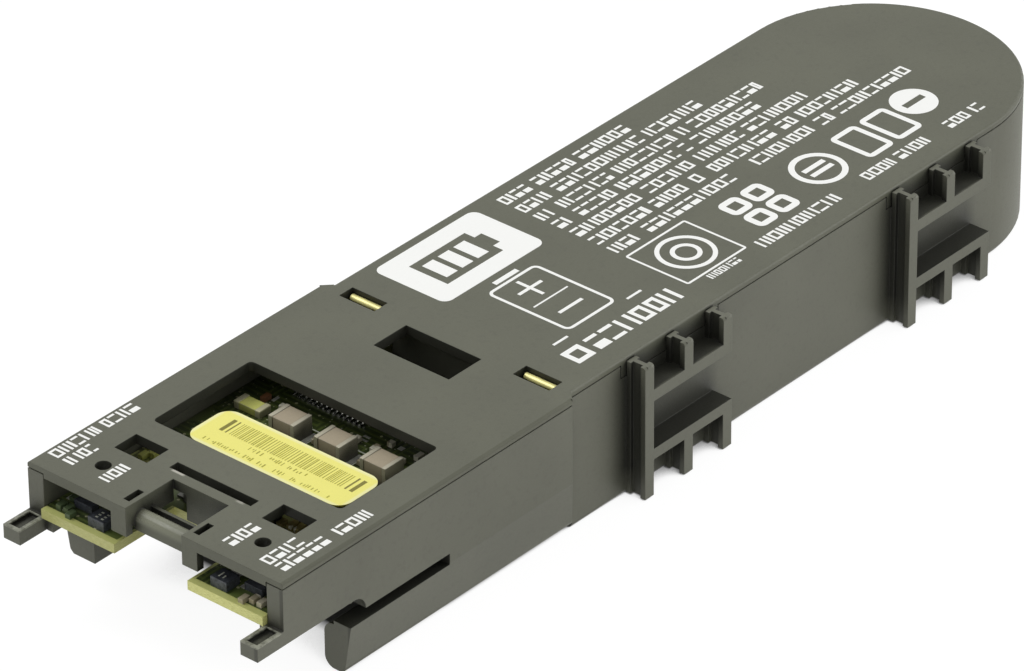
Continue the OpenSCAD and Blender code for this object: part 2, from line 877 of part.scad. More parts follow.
module circuit_board() {
  color("#2f4a2a")
    translate([0, 0, ledge_z])
      linear_extrude(board_t)
        difference() {
          translate([front_x - tongue_reach, -board_y])
            square([divider_x - fit_gap - leaf_t - front_x + tongue_reach, 2 * board_y]);
          translate([front_x - tongue_reach - over, -tongue_y])
            square([tongue_l + tongue_reach + over, 2 * tongue_y]);
          translate([step_x - board_end, -tail_y])
            square([board_end + bulkhead_x + over, 2 * tail_y]);
        }
}

// One oval cell standing at x, z
module cell(x, z) {
  translate([x, 0, z]) {
    linear_extrude(cell_h - lid_h)
      racetrack(cell_l, cell_w);
    translate([lid_inset, 0, 0])
      linear_extrude(cell_h)
        racetrack(cell_l - 2 * lid_inset, cell_w - 2 * lid_inset);
  }
}

module cell_front_lower() {
  color("#8fa3ad")
    cell(front_cell_x, cell_z);
}

module cell_front_upper() {
  color("#8fa3ad")
    cell(front_cell_x, upper_cell_z);
}

module cell_rear_lower() {
  color("#8fa3ad")
    cell(rear_cell_x, cell_z);
}

module cell_rear_upper() {
  color("#8fa3ad")
    cell(rear_cell_x, upper_cell_z);
}

// Metal plate between the two cells of a stack
module stack_plate(x) {
  color("#c9c9c4")
    translate([x + lid_inset, 0, cell_z + cell_h])
      linear_extrude(strip_t)
        racetrack(cell_l - 2 * lid_inset, cell_w - 2 * lid_inset);
}

module stack_plate_front() {
  stack_plate(front_cell_x);
}

module stack_plate_rear() {
  stack_plate(rear_cell_x);
}

// Outline of the strip under the two lower cells, grown by g
module link_shape(g) {
  x0 = rear_cell_x - stack_gap - link_lap;
  translate([x0 - g, -link_w / 2 - g])
    square([stack_gap + 2 * link_lap + 2 * g, link_w + 2 * g]);
}

module cell_link() {
  color("#c9c9c4")
    translate([0, 0, cell_z - strip_t])
      linear_extrude(strip_t)
        link_shape(0);
}

// Outline of the tab on the front upper cell, grown by g
module front_tab_shape(g) {
  x0 = divider_x - fit_gap;
  y0 = -contact_y - front_tab_w / 2;
  translate([x0 - g, y0 - g])
    square([front_cell_x + tab_lap - x0 + 2 * g, front_tab_w + 2 * g]);
}

module front_tab() {
  color("#c9c9c4")
    translate([0, 0, cell_top])
      linear_extrude(strip_t)
        front_tab_shape(0);
}

// Outline of the flat part of the rear tab, grown by g
module rear_tab_shape(g) {
  y1 = cell_w / 2 + side_room / 2;
  translate([rear_cell_x + rear_tab_x - g, cell_w / 4 - g])
    square([rear_tab_w + 2 * g, y1 - cell_w / 4 + strip_t / 2 + 2 * g]);
}

module rear_tab() {
  y1 = cell_w / 2 + side_room / 2;
  x1 = rear_cell_x + rear_tab_x + rear_tab_w;
  color("#c9c9c4") {
    translate([0, 0, cell_top])
      linear_extrude(strip_t)
        rear_tab_shape(0);
    box(
      [divider_x - fit_gap, y1 - strip_t / 2, cell_top + strip_t - rear_run_h],
      [x1, y1 + strip_t / 2, cell_top + strip_t]);
  }
}

// Pad the size of both cell lids, from the front cells to the rear ones
module pad_shape() {
  for (x = [front_cell_x, rear_cell_x])
    translate([x + lid_inset, 0])
      racetrack(cell_l - 2 * lid_inset, cell_w - 2 * lid_inset);
  translate([front_cell_x + cell_w / 2, -cell_w / 4])
    square([cells_l - cell_w, cell_w / 2]);
}

module lower_pad() {
  color("#d8d2c0")
    translate([0, 0, floor_t])
      linear_extrude(lower_pad_t)
        difference() {
          pad_shape();
          link_shape(strip_gap);
        }
}

module upper_pad() {
  color("#d8d2c0")
    translate([0, 0, cell_top])
      linear_extrude(upper_pad_t)
        difference() {
          pad_shape();
          front_tab_shape(strip_gap);
          rear_tab_shape(strip_gap);
        }
}

// Foam that fills the round end behind the cells
module end_foam() {
  color("#55554f")
    translate([0, 0, floor_t])
      linear_extrude(ceiling_z - floor_t)
        difference() {
          translate([round_x, 0])
            circle(body_y - wall - foam_gap);
          translate([cells_end - cell_w / 2, 0])
            circle(d = cell_w + 2 * foam_gap);
          translate([foam_x - 2 * body_y, -body_y])
            square(2 * body_y);
        }
}

// Contact leaf: a foot on the board, an upright and a roll at the top
module contact_leaf(side) {
  x1 = divider_x - fit_gap;
  color("#c2a24a")
    translate([0, side * contact_y, 0])
      along_y(-leaf_w / 2, leaf_w / 2) {
        translate([x1 - leaf_foot, board_z])
          square([leaf_foot, leaf_t]);
        translate([x1 - leaf_t, board_z])
          square([leaf_t, crest_z - leaf_r - board_z]);
        translate([x1 - leaf_r, crest_z - leaf_r])
          difference() {
            circle(leaf_r);
            circle(leaf_r - leaf_t);
            translate([-leaf_r, -leaf_r])
              square([2 * leaf_r, leaf_r]);
          }
      }
}

module contact_leaf_near() {
  contact_leaf(-1);
}

module contact_leaf_far() {
  contact_leaf(1);
}

// Block under the label, soldered to the board
module power_block() {
  color("#26261f")
    box(
      [label_x + label_over, label_y + label_over, board_z],
      [label_x + label_w - label_over, label_y + label_l - label_over, block_z]);
}

module barcode_label() {
  color("#e6e49a")
    translate([label_x + label_w / 2, label_y + label_l / 2, block_z])
      linear_extrude(label_t)
        round_rect(label_w, label_l, label_r);
}

// A chip part at x, y with metal ends a little fuller than its middle
module two_ended(x, y, l, w, h, end) {
  translate([x, y, board_z]) {
    box([end_skin - w / 2, end_skin - l / 2, 0], [w / 2 - end_skin, l / 2 - end_skin, h - end_skin]);
    for (side = [-1, 1])
      translate([0, side * (l - end) / 2, 0])
        box([-w / 2, -end / 2, 0], [w / 2, end / 2, h]);
  }
}

// One of the three ceramic capacitors, counted from the far side
module capacitor(i) {
  color("#b7a997")
    two_ended(front_x + cap_x, cap_y - i * cap_pitch, cap_l, cap_w, cap_h, cap_end);
}

module capacitor_1() {
  capacitor(0);
}

module capacitor_2() {
  capacitor(1);
}

module capacitor_3() {
  capacitor(2);
}

module fuse() {
  y = cap_y + cap_l / 2 + fuse_gap + fuse_l / 2;
  color("#a9ad6a")
    two_ended(front_x + cap_x + fuse_shift, y, fuse_l, fuse_w, fuse_h, fuse_end);
}

module controller_chip() {
  color("#23231f")
    translate([chip_x, chip_y, board_z + chip_lift])
      linear_extrude(chip_h)
        square([chip_w, chip_l], center = true);
}

// Gull-wing leads of the controller chip, both rows
module controller_leads() {
  x0 = chip_w / 2;
  color("#c8c8c0")
    for (side = [-1, 1], i = [0 : lead_n - 1])
      translate([chip_x, chip_y + (i - (lead_n - 1) / 2) * lead_pitch, board_z])
        mirror([side < 0 ? 1 : 0, 0, 0])
          along_y(-lead_w / 2, lead_w / 2)
            polygon([
              [x0, lead_h], [x0 + lead_knee, lead_h], [x0 + lead_knee, lead_t],
              [x0 + lead_reach, lead_t], [x0 + lead_reach, 0],
              [x0 + lead_knee - lead_t, 0], [x0 + lead_knee - lead_t, lead_h - lead_t],
              [x0, lead_h - lead_t]]);
}

// Header body: a box open towards the front
module cable_header() {
  color("#2a2a26")
    difference() {
      box(
        [header_x, -header_w / 2, board_z],
        [header_x + header_l, header_w / 2, board_z + header_h]);
      box(
        [header_x - eps, header_skin - header_w / 2, board_z + header_skin],
        [
          header_x + header_l - 3 * header_skin,
          header_w / 2 - header_skin, board_z + header_h - header_skin]);
    }
}

module header_pins() {
  x1 = header_x + header_l - 3 * header_skin;
  color("#c2a24a")
    for (i = [0 : header_n - 1])
      translate([0, (i - (header_n - 1) / 2) * header_pitch, board_z + header_h / 2])
        box([header_x + pin_depth, -pin_t / 2, -pin_t / 2], [x1, pin_t / 2, pin_t / 2]);
}

// Metal hold-downs at both ends of the header
module header_tabs() {
  x0 = header_x + hold_x;
  x1 = x0 + hold_l;
  y0 = header_w / 2;
  color("#cfcfc8")
    for (side = [-1, 1])
      mirror([0, side < 0 ? 1 : 0, 0]) {
        box([x0, y0, board_z], [x1, y0 + hold_t, board_z + hold_l]);
        box([x0, y0 + hold_t - eps, board_z], [x1, y0 + hold_foot, board_z + hold_t]);
      }
}

// One light-emitting diode: a pale lens on a small base with metal ends
module led(x, y) {
  color("#d9dcc4")
    translate([x, y, board_z]) {
      box([-led_w / 2, -led_l / 2, 0], [led_w / 2, led_l / 2, led_h / 2]);
      box([-led_w / 2, -led_l / 3, 0], [led_w / 2, led_l / 3, led_h]);
    }
}

module led_near_front() {
  led(front_x + hole_x, -hole_y);
}

module led_far_front() {
  led(front_x + hole_x, hole_y);
}

module led_near_rear() {
  led(front_x + light_x + light_l / 2, -light_y);
}

module led_far_rear() {
  led(front_x + light_x + light_l / 2, light_y);
}

// Small chip and a diode on a tongue of the board, on the given side
module driver_chip(side) {
  color("#33353a") {
    translate([front_x + driver_x, side * (tongue_y + driver_in), board_z])
      box([-driver_w / 2, -driver_l / 2, 0], [driver_w / 2, driver_l / 2, driver_h]);
    translate([front_x + diode_x, side * (head_y - diode_edge), board_z])
      box([-diode_w / 2, -diode_l / 2, 0], [diode_w / 2, diode_l / 2, diode_h]);
  }
}

module driver_chip_near() {
  driver_chip(-1);
}

module driver_chip_far() {
  driver_chip(1);
}

// Chip resistors on each tongue: [x from the front, distance in from the side of the head, length]
tongue_places = [
  [0.3, 5.1, 1], [0.9, 4.3, 1], [0.9, 3.35, 1], [2.4, 3.45, 0.6], [8.6, 3.35, 1],
  [11.8, 10.85, 1], [12.4, 9.85, 1.6], [12.4, 8.95, 1.6], [12, 3.35, 1], [13.5, 2.65, 0.6],
  [12.9, 4, 1]];
// Chip resistors behind the label: [x from the middle of the capacitors, y, length]
middle_places = [
  [0.3, cap_y - cap_pitch / 2, 0.6], [0.3, cap_y - 1.5 * cap_pitch, 0.6], [0.7, -9.6, 1],
  [2.9, -0.9, 1], [2.9, -3.3, 1], [2.9, -6.6, 0.6], [2.9, -8.4, 1], [4.5, -3.9, 0.6],
  [4.5, -7.4, 1], [4.5, -9.3, 0.6], [2.7, 8.2, 0.6], [2.9, 10.6, 1]];

// One chip resistor, its length along the case
module small_part(x, y, l) {
  translate([front_x + x, y, board_z])
    box([-l / 2, -small_w / 2, 0], [l / 2, small_w / 2, small_h]);
}

module small_parts() {
  color("#8e8a78") {
    for (side = [-1, 1], p = tongue_places)
      small_part(p[0], side * (head_y - p[1]), p[2]);
    for (p = middle_places)
      small_part(cap_x + p[0], p[1], p[2]);
  }
}

base_housing();
top_cover();
circuit_board();
cell_front_lower();
cell_front_upper();
cell_rear_lower();
cell_rear_upper();
stack_plate_front();
stack_plate_rear();
cell_link();
front_tab();
rear_tab();
lower_pad();
upper_pad();
end_foam();
contact_leaf_near();
contact_leaf_far();
power_block();
barcode_label();
capacitor_1();
capacitor_2();
capacitor_3();
fuse();
controller_chip();
controller_leads();
cable_header();
header_pins();
header_tabs();
led_near_front();
led_near_rear();
led_far_front();
led_far_rear();
driver_chip_near();
driver_chip_far();
small_parts();
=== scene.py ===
import functools
import math
import random

import bpy
from mathutils import Matrix, Vector


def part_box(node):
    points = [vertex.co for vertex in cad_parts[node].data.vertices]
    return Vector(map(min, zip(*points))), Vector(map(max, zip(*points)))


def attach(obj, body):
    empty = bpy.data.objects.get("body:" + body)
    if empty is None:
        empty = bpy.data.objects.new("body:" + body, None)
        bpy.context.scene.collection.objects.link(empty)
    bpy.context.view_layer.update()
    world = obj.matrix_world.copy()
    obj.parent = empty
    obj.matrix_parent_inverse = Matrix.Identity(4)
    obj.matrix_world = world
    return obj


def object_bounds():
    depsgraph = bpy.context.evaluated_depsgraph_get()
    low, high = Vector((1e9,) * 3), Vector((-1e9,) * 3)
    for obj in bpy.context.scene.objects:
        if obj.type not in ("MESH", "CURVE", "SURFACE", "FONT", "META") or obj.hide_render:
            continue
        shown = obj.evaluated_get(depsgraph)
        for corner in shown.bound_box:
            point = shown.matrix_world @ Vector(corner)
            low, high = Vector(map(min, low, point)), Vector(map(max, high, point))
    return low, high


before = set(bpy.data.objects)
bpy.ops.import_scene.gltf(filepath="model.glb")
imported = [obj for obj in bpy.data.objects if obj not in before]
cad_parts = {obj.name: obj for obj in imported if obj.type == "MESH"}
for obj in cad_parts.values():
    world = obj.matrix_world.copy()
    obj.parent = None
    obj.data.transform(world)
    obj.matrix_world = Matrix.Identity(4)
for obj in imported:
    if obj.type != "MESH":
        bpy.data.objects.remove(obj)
cad_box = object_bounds()

# ---------------------------------------------------------------- sizes, in metres

MM = 0.001
LOW, HIGH = cad_box
COVER_LOW, COVER_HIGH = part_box("top_cover")
BOARD_LOW, BOARD_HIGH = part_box("circuit_board")
LABEL_LOW, LABEL_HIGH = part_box("barcode_label")
CAPACITORS = ["capacitor_1", "capacitor_2", "capacitor_3"]
TOP = COVER_HIGH.z
FRONT = COVER_LOW.x
INK = 0.012 * MM                        # print stands this far above its surface
GRAIN = 0.16 * MM                       # size of the moulded plastic's grain

# The cover's head, with its notch, slots and holes
HEAD_Y = COVER_HIGH.y                   # half its width
HEAD_RIM = 2.2 * MM                     # its openings keep further than this from its sides
STEP = FRONT + 41.45 * MM               # where it ends and the body begins
BAR_START = FRONT + 1.0 * MM            # the cross bar in the notch lies between these two
BAR_END = FRONT + 2.95 * MM
NOTCH_END = FRONT + 6.7 * MM            # these two lie just outside the notch and its thin walls
NOTCH_Y = 4.1 * MM
SLOT_EDGE_START = FRONT + 7.35 * MM     # a strip along the front edge of the long slot, where glints are painted
SLOT_EDGE_END = FRONT + 7.7 * MM
LIT_START = FRONT + 10.8 * MM           # the board behind the two light windows, painted brighter as if lit
LIT_END = FRONT + 14.6 * MM

# The base, with its feet and the clips on its near side
FOOT_TOP = TOP - 5.2 * MM
BODY_Y = 15 * MM                        # half the body's width, and the radius of its round end
ROUND_X = HIGH.x - BODY_Y               # where the round end begins
CLIP_Y = -LOW.y                         # outer face of the clips
CLIP_L = 13 * MM
CLIP_STARTS = [STEP + 8 * MM, ROUND_X - 3.4 * MM - CLIP_L]
CLIP_MARGIN = 1.0 * MM                  # from a clip's start to its first shaded place
SHELF_Z = TOP - 10 * MM                 # upper face of a clip's lower shelf
SHELF_RISE = 6.7 * MM                   # from there to the upper shelf

# The board's front, where it shows
TONGUE_END = FRONT + 7.7 * MM           # the bare rims between the two tongues end here
TONGUE_Y = 4.95 * MM                    # and reach this far to each side
COVERED_START = FRONT + 6 * MM          # behind this the cover's shade is painted on the board's face and behind this on its cut edges
EDGE_COVERED = FRONT + 12 * MM          # and behind this its cut edges
LABEL_GLOW = 0.6 * MM                   # how far a painted yellow glow of the label spills on the board


def mm(length):
    """A length of the frame in millimetres, free of rounding."""
    return round(length / MM, 3)


# ---------------------------------------------------------------- materials


def scaled(colour, factor):
    return tuple(c * factor for c in colour)


class Look:
    """One material. Its methods add nodes and return output sockets."""

    def __init__(self, name, roughness=0.5, metallic=0.0, specular=0.5):
        self.material = bpy.data.materials.new(name)
        self.material.use_nodes = True
        self.nodes = self.material.node_tree.nodes
        self.links = self.material.node_tree.links
        self.surface = self.nodes["Principled BSDF"]
        self.set("Roughness", roughness)
        self.set("Metallic", metallic)
        self.set("Specular IOR Level", specular)
        coordinates = self.add("ShaderNodeTexCoord")
        self.place = coordinates.outputs["Object"]
        self.facing = coordinates.outputs["Normal"]

    def set(self, name, value):
        self.feed(self.surface.inputs[name], value)

    def feed(self, socket, value):
        if isinstance(value, bpy.types.NodeSocket):
            self.links.new(value, socket)
        elif socket.type == "RGBA" and len(value) == 3:
            socket.default_value = (*value, 1.0)
        else:
            socket.default_value = value

    def add(self, kind, inputs=None, **settings):
        node = self.nodes.new(kind)
        for name, value in settings.items():
            setattr(node, name, value)
        for name, value in (inputs or {}).items():
            self.feed(node.inputs[name], value)
        return node

    def math(self, operation, a, b=0.0):
        return self.add("ShaderNodeMath", {0: a, 1: b}, operation=operation).outputs[0]

    def absolute(self, value):
        return self.math("ABSOLUTE", value)

    def over(self, value, limit):
        return self.math("GREATER_THAN", value, limit)

    def under(self, value, limit):
        return self.math("LESS_THAN", value, limit)

    def outside(self, mask):
        return self.math("SUBTRACT", 1.0, mask)

    def all_of(self, *masks):
        """The masks multiplied: 1 only where each of them is 1."""
        return functools.reduce(functools.partial(self.math, "MULTIPLY"), masks)

    def any_of(self, *masks):
        """The highest of the masks at each point."""
        return functools.reduce(functools.partial(self.math, "MAXIMUM"), masks)

    def axis(self, name, source=None):
        split = self.add("ShaderNodeSeparateXYZ", {0: source or self.place})
        return split.outputs[name]

    def stretched(self, factors):
        node = self.add("ShaderNodeMapping", {"Vector": self.place, "Scale": factors})
        return node.outputs[0]

    def noise(self, size, detail=2.0, roughness=0.5, source=None):
        node = self.add("ShaderNodeTexNoise", {
            "Vector": source or self.place, "Scale": 1 / size,
            "Detail": detail, "Roughness": roughness})
        return node.outputs["Fac"]

    def cells(self, size, output="Distance", jitter=1.0):
        node = self.add("ShaderNodeTexVoronoi", {
            "Vector": self.place, "Scale": 1 / size, "Randomness": jitter})
        return node.outputs[output]

    def spread(self, value, low, high, to_low=0.0, to_high=1.0, smooth=False):
        """The value carried over from low..high to to_low..to_high, and held beyond."""
        node = self.add("ShaderNodeMapRange", {
            "Value": value, "From Min": low, "From Max": high,
            "To Min": to_low, "To Max": to_high})
        node.interpolation_type = "SMOOTHSTEP" if smooth else "LINEAR"
        return node.outputs[0]

    def between(self, value, low, high, edge):
        """1 from low to high, with a ramp of edge to each side of both."""
        rise = self.spread(value, low - edge, low + edge)
        fall = self.spread(value, high - edge, high + edge, 1.0, 0.0)
        return self.all_of(rise, fall)

    def blend(self, factor, a, b):
        node = self.add("ShaderNodeMix", {0: factor, 6: a, 7: b}, data_type="RGBA")
        return node.outputs[2]

    def tint(self, colour, amount, value):
        """A colour made darker and lighter by amount, as value goes from 0 to 1."""
        return self.blend(value, scaled(colour, 1 - amount), scaled(colour, 1 + amount))

    def bump(self, height, distance, strength, normal=None):
        inputs = {"Height": height, "Distance": distance, "Strength": strength}
        if normal is not None:
            inputs["Normal"] = normal
        return self.add("ShaderNodeBump", inputs).outputs[0]

    def rounded(self, radius):
        return self.add("ShaderNodeBevel", {"Radius": radius}, samples=4).outputs[0]

    def open_air(self, distance, alone=False, samples=8):
        """1 on open surfaces, falling to 0 far inside slots and corners; painted shade and the floor's
        painted shadow follow it.
        """
        node = self.add("ShaderNodeAmbientOcclusion", {"Distance": distance},
                        samples=samples, only_local=alone)
        return node.outputs["AO"]

    def shaded(self, colour, distance, low, high, darkest, alone=False):
        """The colour, darkened with painted shade in slots and corners."""
        open_part = self.spread(self.open_air(distance, alone), low, high, smooth=True)
        dim = self.add("ShaderNodeMix", {0: 1.0, 6: colour, 7: (darkest,) * 3},
                       data_type="RGBA", blend_type="MULTIPLY").outputs[2]
        return self.blend(open_part, dim, colour)

    def stripes(self, value, pitch, part):
        """1 in stripes that fill a part of each pitch."""
        return self.under(self.math("FRACT", self.math("DIVIDE", value, pitch)), part)

    def beside_clips(self, edge):
        """1 along the length of each clip, but for a margin at its start."""
        x = self.axis("X")
        return self.any_of(*(self.between(x, start + CLIP_MARGIN, start + CLIP_L, edge)
                             for start in CLIP_STARTS))


def moulded_plastic(name, colour, reach, alone, painted_shade, wear_and_highlight, wear_and_highlight_tone, polish_and_highlight=None, spare=None):
    """Matt moulded plastic with a fine spark-eroded grain.

    Painted shade darkens the colour where walls lie in reach: the piece's own walls if alone, or
    else all pieces'. Four parameters are functions from the material to a mask: of places painted
    darker still as shade, of places painted pale for rubbed rims and for glints and highlights, of
    polished places painted lighter as a highlight, and of places kept free of the painted shade.
    """
    look = Look(name, specular=0.35)
    roughness = 0.5
    polished = 0.24
    grain = look.noise(GRAIN, 3.0, 0.6)
    flow = look.noise(9 * MM)
    speck = look.noise(0.6 * MM)
    broad = look.tint(colour, 0.06, look.spread(flow, 0.3, 0.7))
    fine = look.blend(look.spread(grain, 0.62, 0.8, 0.0, 0.22), broad, scaled(colour, 1.5))
    tone = look.blend(look.spread(speck, 0.3, 0.45, 0.12, 0.0), fine, (0.05, 0.05, 0.04))
    matt = look.spread(grain, 0.3, 0.7, roughness - 0.07, roughness + 0.07)
    if polish_and_highlight:
        # Painted highlight: the polished place is also painted lighter.
        mask = polish_and_highlight(look)
        tone = look.blend(mask, tone, scaled(colour, 2.1))
        matt = look.math("ADD", matt, look.math("MULTIPLY", mask, polished - roughness))
    # Painted shade: darker where walls lie within reach.
    shade = look.shaded(tone, reach, 0.45, 0.96, 0.12, alone)
    if spare:
        shade = look.blend(spare(look), shade, tone)
    # Painted shade, darker still, in the chosen dark places.
    tone = look.blend(painted_shade(look), shade, scaled(colour, 0.22))
    # Pale places: rubbed rims, and painted glints and highlights.
    look.set("Base Color", look.blend(wear_and_highlight(look), tone, wear_and_highlight_tone))
    look.set("Roughness", matt)
    look.set("Normal", look.bump(grain, 0.018 * MM, 0.55, look.rounded(0.12 * MM)))
    return look.material


def cover_plastic():
    """The cover's plastic, with the top of the cross bar in the notch polished and painted lighter as
    a highlight, painted shade on the walls of its openings and painted glints by the long slot.
    """
    def polish_and_highlight(look):
        # Painted highlight along the top of the cross bar, strongest at its far end.
        y = look.axis("Y")
        near_end, far_end = -3.45 * MM, 3.3 * MM
        along = look.between(look.axis("X"), BAR_START, BAR_END, 0.05 * MM)
        highlight_stronger_far = look.spread(y, -3.6 * MM, far_end, 0.35, 1.0)
        upper = look.spread(look.axis("Z"), TOP - 2.3 * MM, TOP - 1.5 * MM, smooth=True)
        inside = look.between(y, near_end, far_end, 0.08 * MM)
        return look.all_of(along, upper, inside, highlight_stronger_far)

    def painted_shade(look):
        """Painted shade on the walls of the head's windows, slots and holes, and on the tabs behind
        the clips.
        """
        x, y = look.axis("X"), look.absolute(look.axis("Y"))
        wall = look.under(look.absolute(look.axis("Z", look.facing)), 0.5)
        head = look.between(x, FRONT + 0.6 * MM, STEP + 2.0 * MM, 0.02 * MM)
        off_notch = look.any_of(look.over(x, NOTCH_END), look.over(y, NOTCH_Y))
        inner = look.under(y, HEAD_Y - HEAD_RIM)
        holes = look.all_of(wall, head, inner, off_notch)
        near_side = look.under(look.axis("Y", look.facing), -0.7)
        below_top = look.spread(look.axis("Z"), TOP - 1.5 * MM, TOP - 0.4 * MM, 0.8, 0.0)
        tabs = look.all_of(near_side, look.beside_clips(0.3 * MM), below_top)
        return look.any_of(holes, tabs)

    def wear_and_highlight(look):
        """Two painted glints on the front edge of the long slot, the near one fainter."""
        y = look.axis("Y")
        edge = look.between(look.axis("X"), SLOT_EDGE_START, SLOT_EDGE_END, 0.05 * MM)
        far = look.between(y, 3.1 * MM, 4.6 * MM, 0.15 * MM)
        near = look.all_of(look.between(y, -4.3 * MM, -3.5 * MM, 0.2 * MM), 0.6)
        return look.all_of(edge, look.any_of(far, near))

    return moulded_plastic("cover_plastic_look", (0.110, 0.113, 0.081), 4.5 * MM, False,
                           painted_shade, wear_and_highlight, (0.42, 0.41, 0.35), polish_and_highlight)


def base_plastic():
    """The base's plastic, with rubbed rims on the two feet, painted pale also as a highlight, and
    painted shade in the clips.
    """
    def wear_and_highlight(look):
        # Rubbed rims on the feet's tops, in scuffed patches, painted pale also as a highlight.
        ahead = look.under(look.axis("X"), FRONT - 0.3 * MM)
        rim = look.over(look.axis("Z"), FOOT_TOP - 0.14 * MM)
        scuffs = look.spread(look.noise(0.5 * MM, 3.0, 0.6), 0.35, 0.6, 0.2, 1.0)
        return look.all_of(ahead, rim, scuffs)

    def shelf_tops(look, side, z):
        """The upper faces of the clips' shelves, all but their outer rims, where painted shade goes.
        """
        levels = look.any_of(*(look.between(z, level - 0.2 * MM, level + 0.2 * MM, 0.02 * MM)
                               for level in (SHELF_Z, SHELF_Z + SHELF_RISE)))
        up = look.over(look.axis("Z", look.facing), 0.7)
        patchy = look.spread(look.noise(2.5 * MM, 3.0, 0.6), 0.35, 0.65, 0.7, 1.0)
        inside_rim = look.spread(side, CLIP_Y - 0.28 * MM, CLIP_Y - 0.12 * MM, 1.0, 0.1)
        on_clip = look.over(side, HEAD_Y - 0.85 * MM)
        return look.all_of(up, levels, patchy, inside_rim, on_clip)

    def wall_behind(look, side, z):
        """The body's side wall inside each clip, with painted shade above both of its shelves."""
        face = look.between(side, BODY_Y - 0.1 * MM, BODY_Y + 0.1 * MM, 0.02 * MM)
        above_lower = look.all_of(look.spread(z, SHELF_Z + 0.6 * MM, SHELF_Z + 4.6 * MM, 0.95, 0.0),
                                  look.over(z, SHELF_Z - 0.1 * MM))
        upper = SHELF_Z + SHELF_RISE
        above_upper = look.spread(z, upper - 0.1 * MM, upper, 0.0, 0.75)
        return look.all_of(face, look.any_of(above_lower, above_upper),
                           look.beside_clips(0.9 * MM))

    def painted_shade(look):
        """Painted shade on the shelf tops, the wall behind them and the front faces of the ribs' webs.
        """
        side, z = look.math("MULTIPLY", look.axis("Y"), -1.0), look.axis("Z")
        to_front = look.under(look.axis("X", look.facing), -0.7)
        web = look.between(side, BODY_Y + 0.55 * MM, CLIP_Y - 0.5 * MM, 0.1 * MM)
        return look.any_of(shelf_tops(look, side, z), wall_behind(look, side, z),
                           look.all_of(to_front, web, 0.6))

    def spare(look):
        """The foot of the body's walls, which the pale floor lights."""
        near_floor = look.spread(look.axis("Z"), LOW.z + 3.2 * MM, LOW.z + 0.6 * MM, 0.0, 0.75)
        return look.all_of(near_floor, look.over(look.axis("X"), STEP))

    return moulded_plastic("base_plastic_look", (0.124, 0.126, 0.095), 8 * MM, True,
                           painted_shade, wear_and_highlight, (0.31, 0.315, 0.25), spare=spare)


def laminate_edges(look, x, y):
    """The board's pale cut edges, with painted shade: darker on the far side, and darkest under the
    cover.
    """
    layers = look.noise(0.5 * MM, source=look.stretched((1.0, 1.0, 12.0)))
    tone = look.blend(look.spread(layers, 0.35, 0.65), (0.56, 0.56, 0.17), (0.80, 0.80, 0.32))
    # Painted shade on the far side's edges, and deeper painted shade on the edges under the cover.
    far = look.all_of(look.over(y, 0.0), 0.5)
    tone = look.blend(far, tone, (0.30, 0.30, 0.12))
    return look.blend(look.over(x, EDGE_COVERED), tone, (0.09, 0.09, 0.03))


def solder_mask():
    """Green board with straight tracks and vias under the mask, bare margins and cut edges, with
    painted shade under the cover, a painted glow by the label and painted light behind the light
    windows.
    """
    look = Look("board_look", roughness=0.3, specular=0.5)
    x, y = look.axis("X"), look.axis("Y")
    flat = look.spread(look.absolute(look.axis("Z", look.facing)), 0.4, 0.6)

    patch = look.axis("X", look.cells(3.1 * MM, "Color"))
    lengthwise = look.over(patch, 0.5)
    tracks_x = look.all_of(lengthwise, look.stripes(y, 0.62 * MM, 0.42))
    tracks_y = look.all_of(look.outside(lengthwise), look.stripes(x, 0.74 * MM, 0.38))
    copper = look.any_of(tracks_x, tracks_y, look.over(patch, 0.82))
    via = look.under(look.cells(0.95 * MM, jitter=0.8), 0.17)

    cloth = look.spread(look.noise(0.35 * MM), 0.3, 0.7)
    mask = look.blend(cloth, (0.036, 0.052, 0.014), (0.058, 0.080, 0.022))
    mask = look.blend(copper, mask, (0.105, 0.140, 0.036))
    mask = look.blend(via, mask, (0.50, 0.50, 0.30))

    inner_rims = look.all_of(look.under(look.absolute(y), TONGUE_Y), look.under(x, TONGUE_END))
    front_rim = look.under(x, BOARD_LOW.x + 0.75 * MM)
    mask = look.blend(look.any_of(inner_rims, front_rim), mask, (0.50, 0.52, 0.18))

    # Painted glow: the label's yellow light on the board around it.
    painted_label_glow = look.all_of(
        look.between(x, LABEL_LOW.x - LABEL_GLOW, LABEL_HIGH.x + LABEL_GLOW, 0.3 * MM),
        look.between(y, LABEL_LOW.y - LABEL_GLOW, LABEL_HIGH.y + LABEL_GLOW, 0.3 * MM))
    mask = look.blend(painted_label_glow, mask, (0.13, 0.13, 0.02))

    specks = look.all_of(look.under(look.cells(0.62 * MM), 0.13),
                         look.over(x, LABEL_HIGH.x + LABEL_GLOW))
    mask = look.blend(specks, mask, (0.55, 0.56, 0.42))

    # Painted light: the board behind the light windows is painted bright.
    lit = look.between(x, LIT_START, LIT_END, 0.1 * MM)
    # Painted shade: the covered board darkens where the cover closes over it.
    cover_shade = look.all_of(look.over(x, COVERED_START), look.outside(lit))
    mask = look.blend(cover_shade, mask, look.shaded(mask, 3.6 * MM, 0.25, 0.75, 0.2))
    bright = look.blend(look.any_of(copper, via), (0.16, 0.18, 0.055), (0.42, 0.43, 0.16))
    mask = look.blend(lit, mask, bright)

    look.set("Base Color", look.blend(flat, laminate_edges(look, x, y), mask))
    look.set("Roughness", look.spread(flat, 0.0, 1.0, 0.45, 0.3))
    relief = look.all_of(copper, flat)
    look.set("Normal", look.bump(relief, 0.03 * MM, 0.6, look.rounded(0.05 * MM)))
    return look.material


